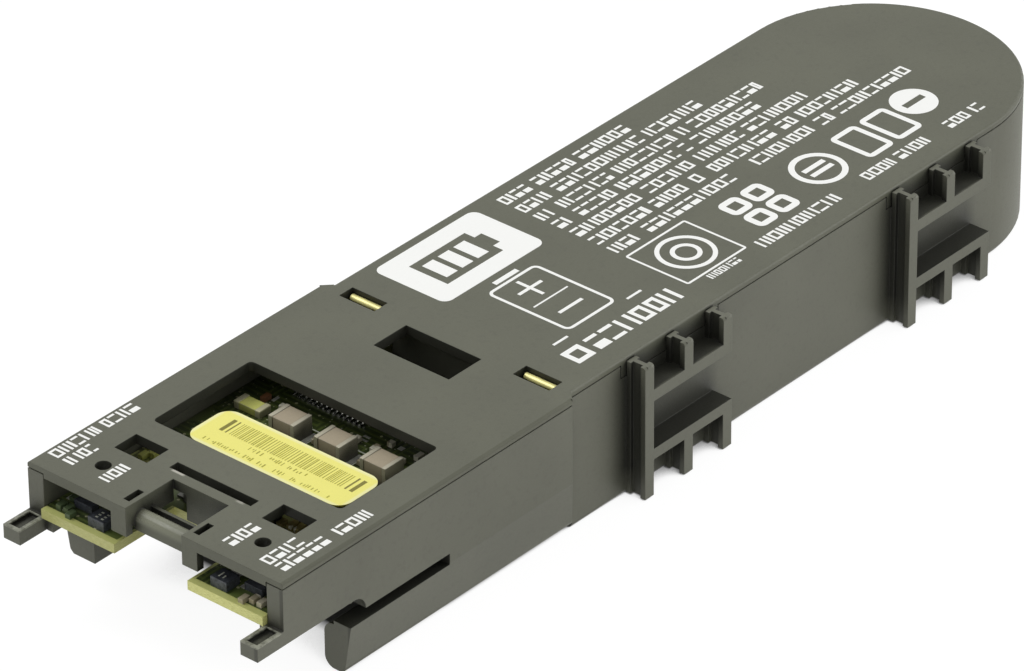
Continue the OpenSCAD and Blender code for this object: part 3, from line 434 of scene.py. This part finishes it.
def plain(name, colour, roughness, metallic=0.0, size=0.5 * MM, amount=0.08, edge=0.04 * MM,
          relief=0.01 * MM):
    """A material with a slight variation of tone and a fine uneven surface."""
    look = Look(name, metallic=metallic)
    patches = look.noise(size * 4)
    fine = look.noise(size, 3.0, 0.6)
    tone = look.math("MULTIPLY", look.math("ADD", patches, fine), 0.5)
    look.set("Base Color", look.tint(colour, amount, look.spread(tone, 0.35, 0.65)))
    look.set("Roughness", look.spread(fine, 0.3, 0.7, roughness - 0.06, roughness + 0.06))
    look.set("Normal", look.bump(fine, relief, 0.5, look.rounded(edge)))
    return look.material


def label_paper():
    """Pale yellow coated paper, a little whiter towards its cut rim, with painted shade on its sides.
    """
    look = Look("label_look", roughness=0.42, specular=0.4)
    low, high = LABEL_LOW, LABEL_HIGH
    rim, edge = 0.35 * MM, 0.15 * MM
    fibre = look.noise(0.12 * MM, 4.0, 0.7)
    inner = look.all_of(look.between(look.axis("X"), low.x + rim, high.x - rim, edge),
                        look.between(look.axis("Y"), low.y + rim, high.y - rim, edge))
    paper = look.tint((0.86, 0.81, 0.20), 0.04, look.spread(fibre, 0.3, 0.7))
    face = look.spread(look.axis("Z", look.facing), 0.4, 0.6)
    tone = look.blend(inner, (0.88, 0.86, 0.42), paper)
    # Painted shade: the label's sides are a dark olive.
    look.set("Base Color", look.blend(face, (0.34, 0.31, 0.03), tone))
    look.set("Normal", look.bump(fibre, 0.006 * MM, 0.5))
    return look.material


def ceramic_chip(name, body, ends, end, node_names, darkest):
    """A ceramic body with tinned ends as long as end, told apart by the distance from its middle;
    painted shade in corners, a painted highlight on its top rim.
    """
    look = Look(name)
    low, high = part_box(node_names[0])
    half = (high.y - low.y) / 2
    y, z = look.axis("Y"), look.axis("Z")
    middles = [sum(corner.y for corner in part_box(node)) / 2 for node in node_names]
    distances = [look.absolute(look.math("SUBTRACT", y, middle)) for middle in middles]
    along = functools.reduce(functools.partial(look.math, "MINIMUM"), distances)
    metal = look.spread(along, half - end - 0.03 * MM, half - end + 0.03 * MM)
    fine = look.noise(0.3 * MM, 3.0, 0.6)
    tone = look.blend(metal, look.tint(body, 0.08, fine), look.tint(ends, 0.06, fine))
    # Painted shade in corners, down to darkest.
    tone = look.shaded(tone, 3 * MM, 0.42, 0.92, darkest)
    # Painted highlight: the top rim is painted pale.
    top_rim_highlight = look.all_of(look.over(z, high.z - 0.13 * MM),
                          look.under(look.axis("Z", look.facing), 0.9))
    look.set("Base Color", look.blend(look.all_of(top_rim_highlight, 0.7), tone, ends))
    look.set("Metallic", look.all_of(metal, 0.35))
    look.set("Roughness", look.spread(metal, 0.0, 1.0, 0.55, 0.4))
    look.set("Normal", look.bump(fine, 0.02 * MM, 0.5, look.rounded(0.12 * MM)))
    return look.material


def small_chips():
    """Mixed small chips: each gets its tone from where it stands."""
    look = Look("small_chip_look", roughness=0.4)
    x, y = look.axis("X"), look.axis("Y")
    far = look.over(y, 0.0)
    near = look.outside(far)
    pick = look.axis("X", look.cells(1.2 * MM, "Color"))
    on_tongues = look.under(x, FRONT + 5 * MM)
    lit = look.between(x, LIT_START, LIT_END - 0.2 * MM, 0.05 * MM)
    by_fuse = look.all_of(look.over(y, 9.6 * MM), look.over(x, FRONT + 24 * MM))
    pale_or_ochre = look.blend(look.spread(pick, 0.35, 0.5), (0.80, 0.78, 0.62), (0.40, 0.33, 0.12))
    tone = look.blend(look.spread(pick, 0.3, 0.5), (0.34, 0.30, 0.20), (0.62, 0.60, 0.48))
    tone = look.blend(look.all_of(on_tongues, far), tone, (0.07, 0.10, 0.045))
    tone = look.blend(look.all_of(lit, far), tone, (0.50, 0.52, 0.14))
    tone = look.blend(look.all_of(lit, near), tone, pale_or_ochre)
    tone = look.blend(by_fuse, tone, (0.20, 0.09, 0.04))
    look.set("Base Color", tone)
    look.set("Normal", look.bump(look.noise(0.2 * MM), 0.01 * MM, 0.5, look.rounded(0.08 * MM)))
    return look.material


def spring_metal(name, colour, roughness, metallic, darkest):
    """Rolled spring metal with fine lines along the strip, and painted shade in corners down to
    darkest.
    """
    look = Look(name, metallic=metallic)
    lines = look.noise(0.12 * MM, 3.0, 0.6, source=look.stretched((1.0, 0.08, 1.0)))
    stain = look.noise(1.4 * MM)
    tone = look.tint(colour, 0.10, look.spread(stain, 0.35, 0.65))
    # Painted shade in corners.
    look.set("Base Color", look.shaded(tone, 1.6 * MM, 0.35, 0.95, darkest))
    look.set("Roughness", look.spread(lines, 0.3, 0.7, roughness - 0.06, roughness + 0.08))
    look.set("Normal", look.bump(lines, 0.004 * MM, 0.6, look.rounded(0.05 * MM)))
    return look.material


def white_ink():
    """Screen-printed white ink, a little thin where its grain is highest."""
    look = Look("white_ink_look", roughness=0.55, specular=0.3)
    grain = look.noise(GRAIN, 3.0, 0.6)
    thin = look.spread(grain, 0.66, 0.8, 0.0, 0.35)
    look.set("Base Color", look.blend(thin, (0.95, 0.955, 0.93), (0.6, 0.6, 0.57)))
    look.set("Normal", look.bump(grain, 0.012 * MM, 0.5))
    return look.material


# ---------------------------------------------------------------- the CAD nodes


def dress(node_names, material):
    for name in node_names:
        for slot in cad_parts[name].material_slots:
            slot.material = material


def soften(name, width):
    """Rounds the sharp edges of a CAD node with modifiers only."""
    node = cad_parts[name]
    weld = node.modifiers.new("weld", "WELD")
    weld.merge_threshold = 0.001 * MM
    flat = node.modifiers.new("flat", "DECIMATE")
    flat.decimate_type = "DISSOLVE"
    flat.angle_limit = math.radians(0.3)
    bevel = node.modifiers.new("bevel", "BEVEL")
    bevel.width = width
    bevel.segments = 2
    bevel.limit_method = "ANGLE"
    bevel.angle_limit = math.radians(40)
    bevel.harden_normals = True


def dress_shells():
    dress(["top_cover"], cover_plastic())
    dress(["base_housing"], base_plastic())
    # The block under the label is painted a dark olive for the label's yellow glow in the shade
    # beneath it.
    dress(["power_block"], plain("block_glow_shade_look", (0.15, 0.14, 0.025), 0.5))
    dress(["barcode_label"], label_paper())
    soften("top_cover", 0.1 * MM)
    soften("base_housing", 0.08 * MM)


def dress_cells():
    """The cells, with the plates, tabs, pads and foam around them."""
    cells = [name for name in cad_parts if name.startswith(("cell_front", "cell_rear"))]
    dress(cells, plain("cell_can_look", (0.55, 0.57, 0.58), 0.3, 1.0, 0.8 * MM, 0.06))
    dress(["stack_plate_front", "stack_plate_rear", "cell_link", "front_tab", "rear_tab"],
          plain("nickel_look", (0.66, 0.65, 0.61), 0.28, 1.0, 0.5 * MM, 0.06))
    dress(["lower_pad", "upper_pad"],
          plain("pad_look", (0.62, 0.58, 0.48), 0.85, size=0.3 * MM, amount=0.1))
    dress(["end_foam"],
          plain("foam_look", (0.12, 0.12, 0.11), 0.95, size=0.35 * MM, amount=0.3,
                relief=0.1 * MM))


def dress_board():
    """The circuit board and what is mounted on it."""
    dress(["circuit_board"], solder_mask())
    dress(["contact_leaf_near", "contact_leaf_far"],
          spring_metal("leaf_look", (0.88, 0.82, 0.34), 0.34, 0.3, 0.9))
    dress(["header_pins"], spring_metal("pin_look", (0.82, 0.66, 0.30), 0.2, 1.0, 0.22))
    # The header's tin tabs are painted dark grey as shade, with more painted shade in corners.
    dress(["header_tabs"], spring_metal("shaded_tab_look", (0.30, 0.30, 0.27), 0.3, 1.0, 0.15))
    dress(["cable_header"], plain("header_look", (0.05, 0.05, 0.043), 0.45))
    dress(CAPACITORS,
          ceramic_chip("capacitor_look", (0.40, 0.34, 0.24), (0.50, 0.47, 0.36), 0.45 * MM,
                       CAPACITORS, 0.12))
    dress(["fuse"],
          ceramic_chip("fuse_look", (0.86, 0.88, 0.24), (0.90, 0.86, 0.56), 0.6 * MM,
                       ["fuse"], 0.35))
    dress(["controller_chip"],
          plain("chip_look", (0.028, 0.029, 0.030), 0.4, size=0.15 * MM, amount=0.2,
                edge=0.08 * MM))
    dress(["driver_chip_near", "driver_chip_far"],
          plain("driver_look", (0.050, 0.056, 0.066), 0.4, size=0.12 * MM, amount=0.6,
                edge=0.08 * MM))
    dress(["controller_leads"], plain("tin_look", (0.74, 0.74, 0.70), 0.25, 1.0, 0.2 * MM))
    dress(["led_near_front", "led_near_rear", "led_far_front", "led_far_rear"],
          plain("led_look", (0.78, 0.79, 0.62), 0.2, size=0.3 * MM, amount=0.05))
    dress(["small_parts"], small_chips())


# ---------------------------------------------------------------- outlines, in millimetres

DISC_SIDES = 40
CORNER_STEPS = 6


def rect(x0, y0, x1, y1):
    return [(x0, y0), (x1, y0), (x1, y1), (x0, y1)]


def bar(x, y, w, h):
    """A rectangle from its lowest corner and its two sizes."""
    return rect(x, y, x + w, y + h)


def arc(x, y, r, start, end, steps):
    turn = math.radians(end - start) / steps
    first = math.radians(start)
    return [(x + r * math.cos(first + turn * i), y + r * math.sin(first + turn * i))
            for i in range(steps + 1)]


def round_rect(x0, y0, x1, y1, r):
    corners = [(x1 - r, y0 + r, -90), (x1 - r, y1 - r, 0), (x0 + r, y1 - r, 90), (x0 + r, y0 + r, 180)]
    return [point for x, y, start in corners
            for point in arc(x, y, r, start, start + 90, CORNER_STEPS)]


def disc(x, y, r):
    return arc(x, y, r, 0, 360 - 360 / DISC_SIDES, DISC_SIDES - 1)


def ring(x, y, outer, inner):
    return [disc(x, y, outer), disc(x, y, inner)]


def frame_lines(x0, y0, x1, y1, r, line):
    """The outline of a rectangle with round corners, as wide as line."""
    inner_r = max(r - line, 0.05)
    return [round_rect(x0, y0, x1, y1, r),
            round_rect(x0 + line, y0 + line, x1 - line, y1 - line, inner_r)]


def plus(x, y, half, line):
    t = line / 2
    return [(x - half, y - t), (x - t, y - t), (x - t, y - half), (x + t, y - half),
            (x + t, y - t), (x + half, y - t), (x + half, y + t), (x + t, y + t),
            (x + t, y + half), (x - t, y + half), (x - t, y + t), (x - half, y + t)]


def mark(x, y, w, h, line, kind):
    """One plain mark in a line of print, and the width that it takes.

    It is an upright, a hollow box, two uprights, two level bars, or a box filled in its lower half.
    """
    if kind == 0:
        return [bar(x, y, line * 1.2, h)], line * 1.2
    if kind == 1:
        return [bar(x, y, w, h), rect(x + line, y + line, x + w - line, y + h - line)], w
    if kind == 2:
        return [bar(x, y, line, h), rect(x + w - line, y, x + w, y + h)], w
    if kind == 3:
        return [bar(x, y, w, line), rect(x, y + h - line, x + w, y + h)], w
    return [bar(x, y, w, h * 0.45), rect(x, y + h - line, x + w, y + h)], w


def word(x, y, width, height, rng):
    """Plain marks that fill the place of a word of the given width; y is its foot."""
    outlines = []
    line = 0.19 * height
    gap = 0.17 * height
    narrowest = 0.35 * height
    end = x + width
    while x < end - narrowest:
        w = min(rng.uniform(0.6, 0.78) * height, end - x)
        shapes, used = mark(x, y, w, height, line, rng.randrange(5))
        outlines += shapes
        x += used + gap
    return outlines


def lines_of_words(rows, rng):
    """Words in rows: each row has its start, the y of its middle, its words' widths, its height."""
    outlines = []
    for x, y, widths, height in rows:
        space = 0.62 * height
        for width in widths:
            outlines += word(x, y - height / 2, width, height, rng)
            x += width + space
    return outlines


def shifted(outlines, dx, dy=0.0):
    return [[(x + dx, y + dy) for x, y in outline] for outline in outlines]


# ---------------------------------------------------------------- flat pieces


def flat_piece(name, outlines, surface, material):
    """Ink or metal on a level surface. The outlines are in millimetres.

    An outline inside another is a hole.
    """
    curve = bpy.data.curves.new(name, "CURVE")
    curve.dimensions = "2D"
    curve.fill_mode = "BOTH"
    curve.extrude = INK
    for outline in outlines:
        spline = curve.splines.new("POLY")
        spline.points.add(len(outline) - 1)
        for point, (x, y) in zip(spline.points, outline):
            point.co = (x * MM, y * MM, 0, 1)
        spline.use_cyclic_u = True
    source = bpy.data.objects.new(name, curve)
    bpy.context.collection.objects.link(source)
    mesh = bpy.data.meshes.new_from_object(source)
    bpy.data.objects.remove(source)
    mesh.transform(Matrix.Translation((0, 0, surface)))
    piece = bpy.data.objects.new(name, mesh)
    bpy.context.collection.objects.link(piece)
    mesh.materials.clear()
    mesh.materials.append(material)
    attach(piece, "root")


# The body's print is laid out from PRINT_X, and the head's from the cover's front edge
PRINT_X = mm(STEP) + 1.7
HEAD_X = mm(FRONT)


def print_panel(ink):
    """White block with a plain picture of a battery left bare in it."""
    bare = [(5.4, 6.6), (13.6, 6.6), (13.6, 7.9), (14.6, 7.9), (14.6, 10.3), (13.6, 10.3),
            (13.6, 11.6), (5.4, 11.6)]
    charge = [bar(6.3 + 2.3 * i, 7.5, 1.6, 3.2) for i in range(3)]
    outlines = [round_rect(2.6, 4.4, 17.4, 13.8, 1.0), bare] + charge
    flat_piece("print_panel", shifted(outlines, PRINT_X), TOP, ink)


def print_signs(ink):
    """Plain polarity sign, and a row of plain signs in thin line."""
    polarity = frame_lines(6.4, -7.8, 13.6, 2.6, 0.8, 0.34)
    polarity += [rect(8.3, 2.9, 11.7, 3.5), plus(10.0, 0.1, 1.7, 0.4), rect(8.3, -5.2, 11.7, -4.8)]
    polarity += [rect(7.5, -2.6, 12.5, -2.4)]
    polarity += [rect(x, -8.5, x + 2.1, -8.2) for x in (3.5, 14.4)]
    target = frame_lines(20.2, -11.2, 29.2, -3.2, 0.3, 0.26)
    target += ring(24.7, -7.2, 3.1, 2.6) + ring(24.7, -7.2, 1.6, 1.1)
    four_boxes = []
    for x in (33.0, 36.4):
        for y in (-10.0, -6.8):
            four_boxes += frame_lines(x, y, x + 2.9, y + 2.8, 0.8, 0.75)
    equals = ring(45.3, -7.1, 3.0, 2.35) + [bar(43.7, y, 3.2, 0.6) for y in (-7.9, -6.8)]
    two_boxes = []
    for x in (50.2, 54.8):
        two_boxes += frame_lines(x, -9.9, x + 3.9, -4.4, 0.7, 0.62)
    closed = [disc(61.7, -6.2, 2.5), rect(60.2, -6.6, 63.2, -5.8)]
    signs = polarity + target + four_boxes + equals + two_boxes + closed
    flat_piece("print_signs", shifted(signs, PRINT_X), TOP, ink)


def print_words(ink):
    """Rows of plain marks where the cover carries its lines of small print."""
    rng = random.Random(7)
    main_height = 1.5
    main = [
        (20.3, 12.6, [4.0, 5.6, 7.6]), (20.3, 10.25, [4.4, 13.0, 8.6]),
        (20.3, 7.9, [2.3, 7.6, 8.8, 1.0, 10.6]), (20.3, 5.6, [2.3, 5.4, 8.8, 1.0, 9.8]),
        (20.3, 3.25, [9.8, 7.2, 6.6, 9.6]), (20.3, 0.9, [8.2, 5.2, 1.9, 9.8, 2.2, 9.4]),
        (20.3, -1.5, [4.2, 14.0]), (42.1, -1.5, [9.2, 2.0, 12.0])]
    captions = [
        (22.5, -11.9, [4.5], 0.9), (30.3, -11.8, [12.2], 1.5), (46.8, -11.7, [4.4, 5.2], 1.4),
        (60.0, -11.7, [3.2, 1.4], 1.4)]
    head = [
        (2.15, 14.75, [6.0, 4.8], 1.4), (2.15, 12.9, [3.6], 1.4), (2.15, 8.3, [3.7], 1.35),
        (1.75, -7.65, [4.2], 1.45), (1.65, -12.3, [5.2], 1.4), (1.75, -14.05, [6.8, 4.4], 1.4)]
    body = lines_of_words([(*row, main_height) for row in main] + captions, rng)
    body += frame_lines(2.6, -12.4, 5.1, -9.9, 0.1, 0.6)
    body += lines_of_words([(5.9, -11.1, [12.4], 2.4)], rng)
    outlines = shifted(body, PRINT_X) + shifted(lines_of_words(head, rng), HEAD_X)
    flat_piece("print_words", outlines, TOP, ink)


def print_label(bar_ink, text_ink):
    """Plain bars of uneven pitch along the label, with two columns of tiny marks.

    Places are from the label's front corner on the near side.
    """
    rng = random.Random(3)
    corner = (mm(LABEL_LOW.x), mm(LABEL_LOW.y))
    x, length = 2.8, 2.2
    ends = [bar(x, middle - thick / 2, length, thick)
            for middle, thick in ((17.55, 0.42), (1.3, 0.42), (16.95, 0.16), (2.0, 0.2))]
    flat_piece("label_end_bars", shifted(ends, *corner), LABEL_HIGH.z, bar_ink)
    outlines = []
    y = 16.45
    while y > 2.4:
        thick = rng.uniform(0.06, 0.13)
        outlines.append(bar(x, y - thick / 2, length, thick))
        y -= thick + rng.uniform(0.1, 0.26)
    widest = 0.62
    for column, low, high in ((0.6, 2.1, 17.8), (1.9, 5.9, 13.7)):
        y = high
        while y > low:
            if rng.random() < 0.7:
                w = rng.uniform(0.2, widest)
                start = column + rng.uniform(0, widest - w)
                outlines.append(bar(start, y, w, rng.uniform(0.08, 0.16)))
            y -= rng.uniform(0.22, 0.5)
    flat_piece("label_bars", shifted(outlines, *corner), LABEL_HIGH.z, text_ink)


def board_marks(silk, tin):
    """Solder lands and printed lines on the board around its parts."""
    lands, lines = [], []
    for name in CAPACITORS:
        low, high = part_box(name)
        x0, y0, x1, y1 = mm(low.x), mm(low.y), mm(high.x), mm(high.y)
        lands += [rect(x0 - 0.15, y0 - 0.55, x1 + 0.15, y0), rect(x0 - 0.15, y1, x1 + 0.15, y1 + 0.55)]
        lines += frame_lines(x0 - 0.65, y0 - 0.75, x1 + 0.65, y1 + 0.75, 0.15, 0.14)
    board_x = mm(BOARD_LOW.x)
    by_parts = [
        (21.3, 5.7, 0.7, 0.5), (21.5, 4.6, 0.5, 0.7), (21.6, -1.9, 0.6, 0.5),
        (21.2, -6.4, 0.8, 0.5), (21.7, -7.4, 0.5, 0.5), (27.9, -1.7, 0.3, 1.0),
        (28.5, -1.5, 0.3, 0.8), (26.8, 1.9, 0.6, 0.4), (27.6, 9.8, 0.9, 0.4),
        (28.9, -5.2, 0.6, 0.6), (29.6, -9.9, 0.5, 0.8)]
    on_tongue = [
        (1.1, 12.1, 0.5, 0.25), (2.8, 12.9, 0.8, 0.5), (3.6, 6.6, 0.5, 1.3), (2.3, 8.95, 0.9, 0.6)]
    near_tongue = [(x, -y - h, w, h) for x, y, w, h in on_tongue]
    lands += shifted([bar(*land) for land in by_parts + near_tongue + on_tongue], board_x)
    flat_piece("board_lands", lands, BOARD_HIGH.z, tin)
    flat_piece("board_lines", lines, BOARD_HIGH.z, silk)


def chip_marks(silk):
    """Tiny marks on the two chips of the tongues."""
    far_low, far_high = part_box("driver_chip_far")
    near_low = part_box("driver_chip_near")[0]
    far = [bar(0.35 + 0.42 * i, y, 0.2, 0.3) for y in (0.4, 1.1) for i in range(3)]
    near = [bar(0.45, 4.4, 0.8, 0.15), bar(0.45, 3.9, 0.5, 0.15)]
    marks = shifted(far, mm(far_low.x), mm(far_low.y))
    marks += shifted(near, mm(near_low.x), mm(near_low.y))
    flat_piece("chip_marks", marks, far_high.z, silk)


# ---------------------------------------------------------------- camera, lamps and floor


def camera():
    """The photograph's viewing angle: heading, tilt and roll of a long lens."""
    heading, tilt, roll = (math.radians(angle) for angle in (49.012, 32.001, -0.545))
    aim = Vector((-4.19, 3.87, 7.70)) * MM
    distance = 712.1 * MM
    look = Vector((math.sin(heading) * math.cos(tilt), math.cos(heading) * math.cos(tilt),
                   -math.sin(tilt)))
    level = look.cross(Vector((0, 0, 1))).normalized()
    rise = level.cross(look)
    right = level * math.cos(roll) + rise * math.sin(roll)
    up = rise * math.cos(roll) - level * math.sin(roll)
    data = bpy.data.cameras.new("camera")
    data.lens = 257.8
    data.sensor_width = 36
    data.clip_start = 0.05
    data.clip_end = 20
    cam = bpy.data.objects.new("camera", data)
    cam.matrix_world = Matrix.Translation(aim - look * distance) @ Matrix(
        (right, up, -look)).transposed().to_4x4()
    bpy.context.collection.objects.link(cam)
    bpy.context.scene.camera = cam


def soft_box(name, direction, distance, size, power):
    """A square lamp that stands in the given direction and faces the origin."""
    data = bpy.data.lights.new(name, "AREA")
    data.shape = "SQUARE"
    data.size = size
    data.energy = power
    lamp = bpy.data.objects.new(name, data)
    back = Vector(direction).normalized()
    lamp.location = back * distance
    lamp.rotation_mode = "QUATERNION"
    lamp.rotation_quaternion = (-back).to_track_quat("-Z", "Y")
    bpy.context.collection.objects.link(lamp)


def seen_rays(nodes, links):
    """1 for the rays that show the background: camera, glossy and transmission."""
    path = nodes.new("ShaderNodeLightPath")
    value = path.outputs["Is Camera Ray"]
    for name in ("Is Glossy Ray", "Is Transmission Ray"):
        node = nodes.new("ShaderNodeMath")
        node.operation = "MAXIMUM"
        links.new(value, node.inputs[0])
        links.new(path.outputs[name], node.inputs[1])
        value = node.outputs[0]
    return value


def studio():
    """White where it is seen, a softer white on the part, and two soft boxes."""
    world = bpy.data.worlds.new("studio")
    bpy.context.scene.world = world
    world.use_nodes = True
    nodes, links = world.node_tree.nodes, world.node_tree.links
    background = nodes["Background"]
    background.inputs["Color"].default_value = (1, 1, 1, 1)
    level = nodes.new("ShaderNodeMapRange")
    links.new(seen_rays(nodes, links), level.inputs["Value"])
    level.inputs["To Min"].default_value = 0.6
    level.inputs["To Max"].default_value = 1.0
    links.new(level.outputs[0], background.inputs["Strength"])
    soft_box("key", (-0.25, 0.55, 0.8), distance=0.75, size=0.35, power=1.85)
    soft_box("fill", (0.75, -0.6, 0.3), distance=0.9, size=0.6, power=3.6)


def floor_plane(half):
    mesh = bpy.data.meshes.new("floor")
    corners = [(-half, -half, 0), (half, -half, 0), (half, half, 0), (-half, half, 0)]
    mesh.from_pydata(corners, [], [(0, 1, 2, 3)])
    plane = bpy.data.objects.new("floor", mesh)
    plane.location.z = LOW.z - 0.02 * MM
    bpy.context.collection.objects.link(plane)
    return plane


def floor():
    """A pale floor that shows white, with the lamps' shadow and a soft painted shadow of the part, and
    painted dark in the head's bay.
    """
    look = Look("floor_look")
    look.nodes.remove(look.surface)
    x, y = look.axis("X"), look.axis("Y")
    # Painted shadow: the floor's white glow fades where the part shuts out the open air.
    open_part = look.spread(look.open_air(15 * MM, samples=32), 0.02, 0.3, 0.02, 0.93, smooth=True)
    # Painted shadow: the floor in the head's bay is painted dark.
    bay_start, bay_near, bay_far = FRONT + 14.2 * MM, -12 * MM, 8.9 * MM
    bay = look.all_of(look.between(x, bay_start, STEP, 0.8 * MM),
                      look.between(y, bay_near, bay_far, 0.3 * MM))
    glow = look.add("ShaderNodeEmission", {"Strength": look.all_of(open_part, look.outside(bay))})
    shown = look.add("ShaderNodeBsdfDiffuse", {"Color": (0.14, 0.14, 0.14)})
    bounce = look.add("ShaderNodeBsdfDiffuse", {"Color": (0.8, 0.8, 0.8)})
    both = look.add("ShaderNodeAddShader", {0: shown.outputs[0], 1: glow.outputs[0]})
    pick = look.add("ShaderNodeMixShader", {
        0: seen_rays(look.nodes, look.links), 1: bounce.outputs[0], 2: both.outputs[0]})
    look.feed(look.nodes["Material Output"].inputs["Surface"], pick.outputs[0])
    plane = floor_plane(half=1.5)
    plane.data.materials.append(look.material)


camera()
studio()
floor()
dress_shells()
dress_cells()
dress_board()

white = white_ink()
print_panel(white)
print_signs(white)
print_words(white)
print_label(plain("label_ink_look", (0.20, 0.18, 0.02), 0.6),
            plain("label_tint_look", (0.40, 0.37, 0.04), 0.6))
silk = plain("silk_look", (0.60, 0.62, 0.52), 0.6)
board_marks(silk, plain("land_look", (0.72, 0.72, 0.66), 0.35, 0.6))
chip_marks(silk)

bpy.context.scene.view_settings.view_transform = "Standard"
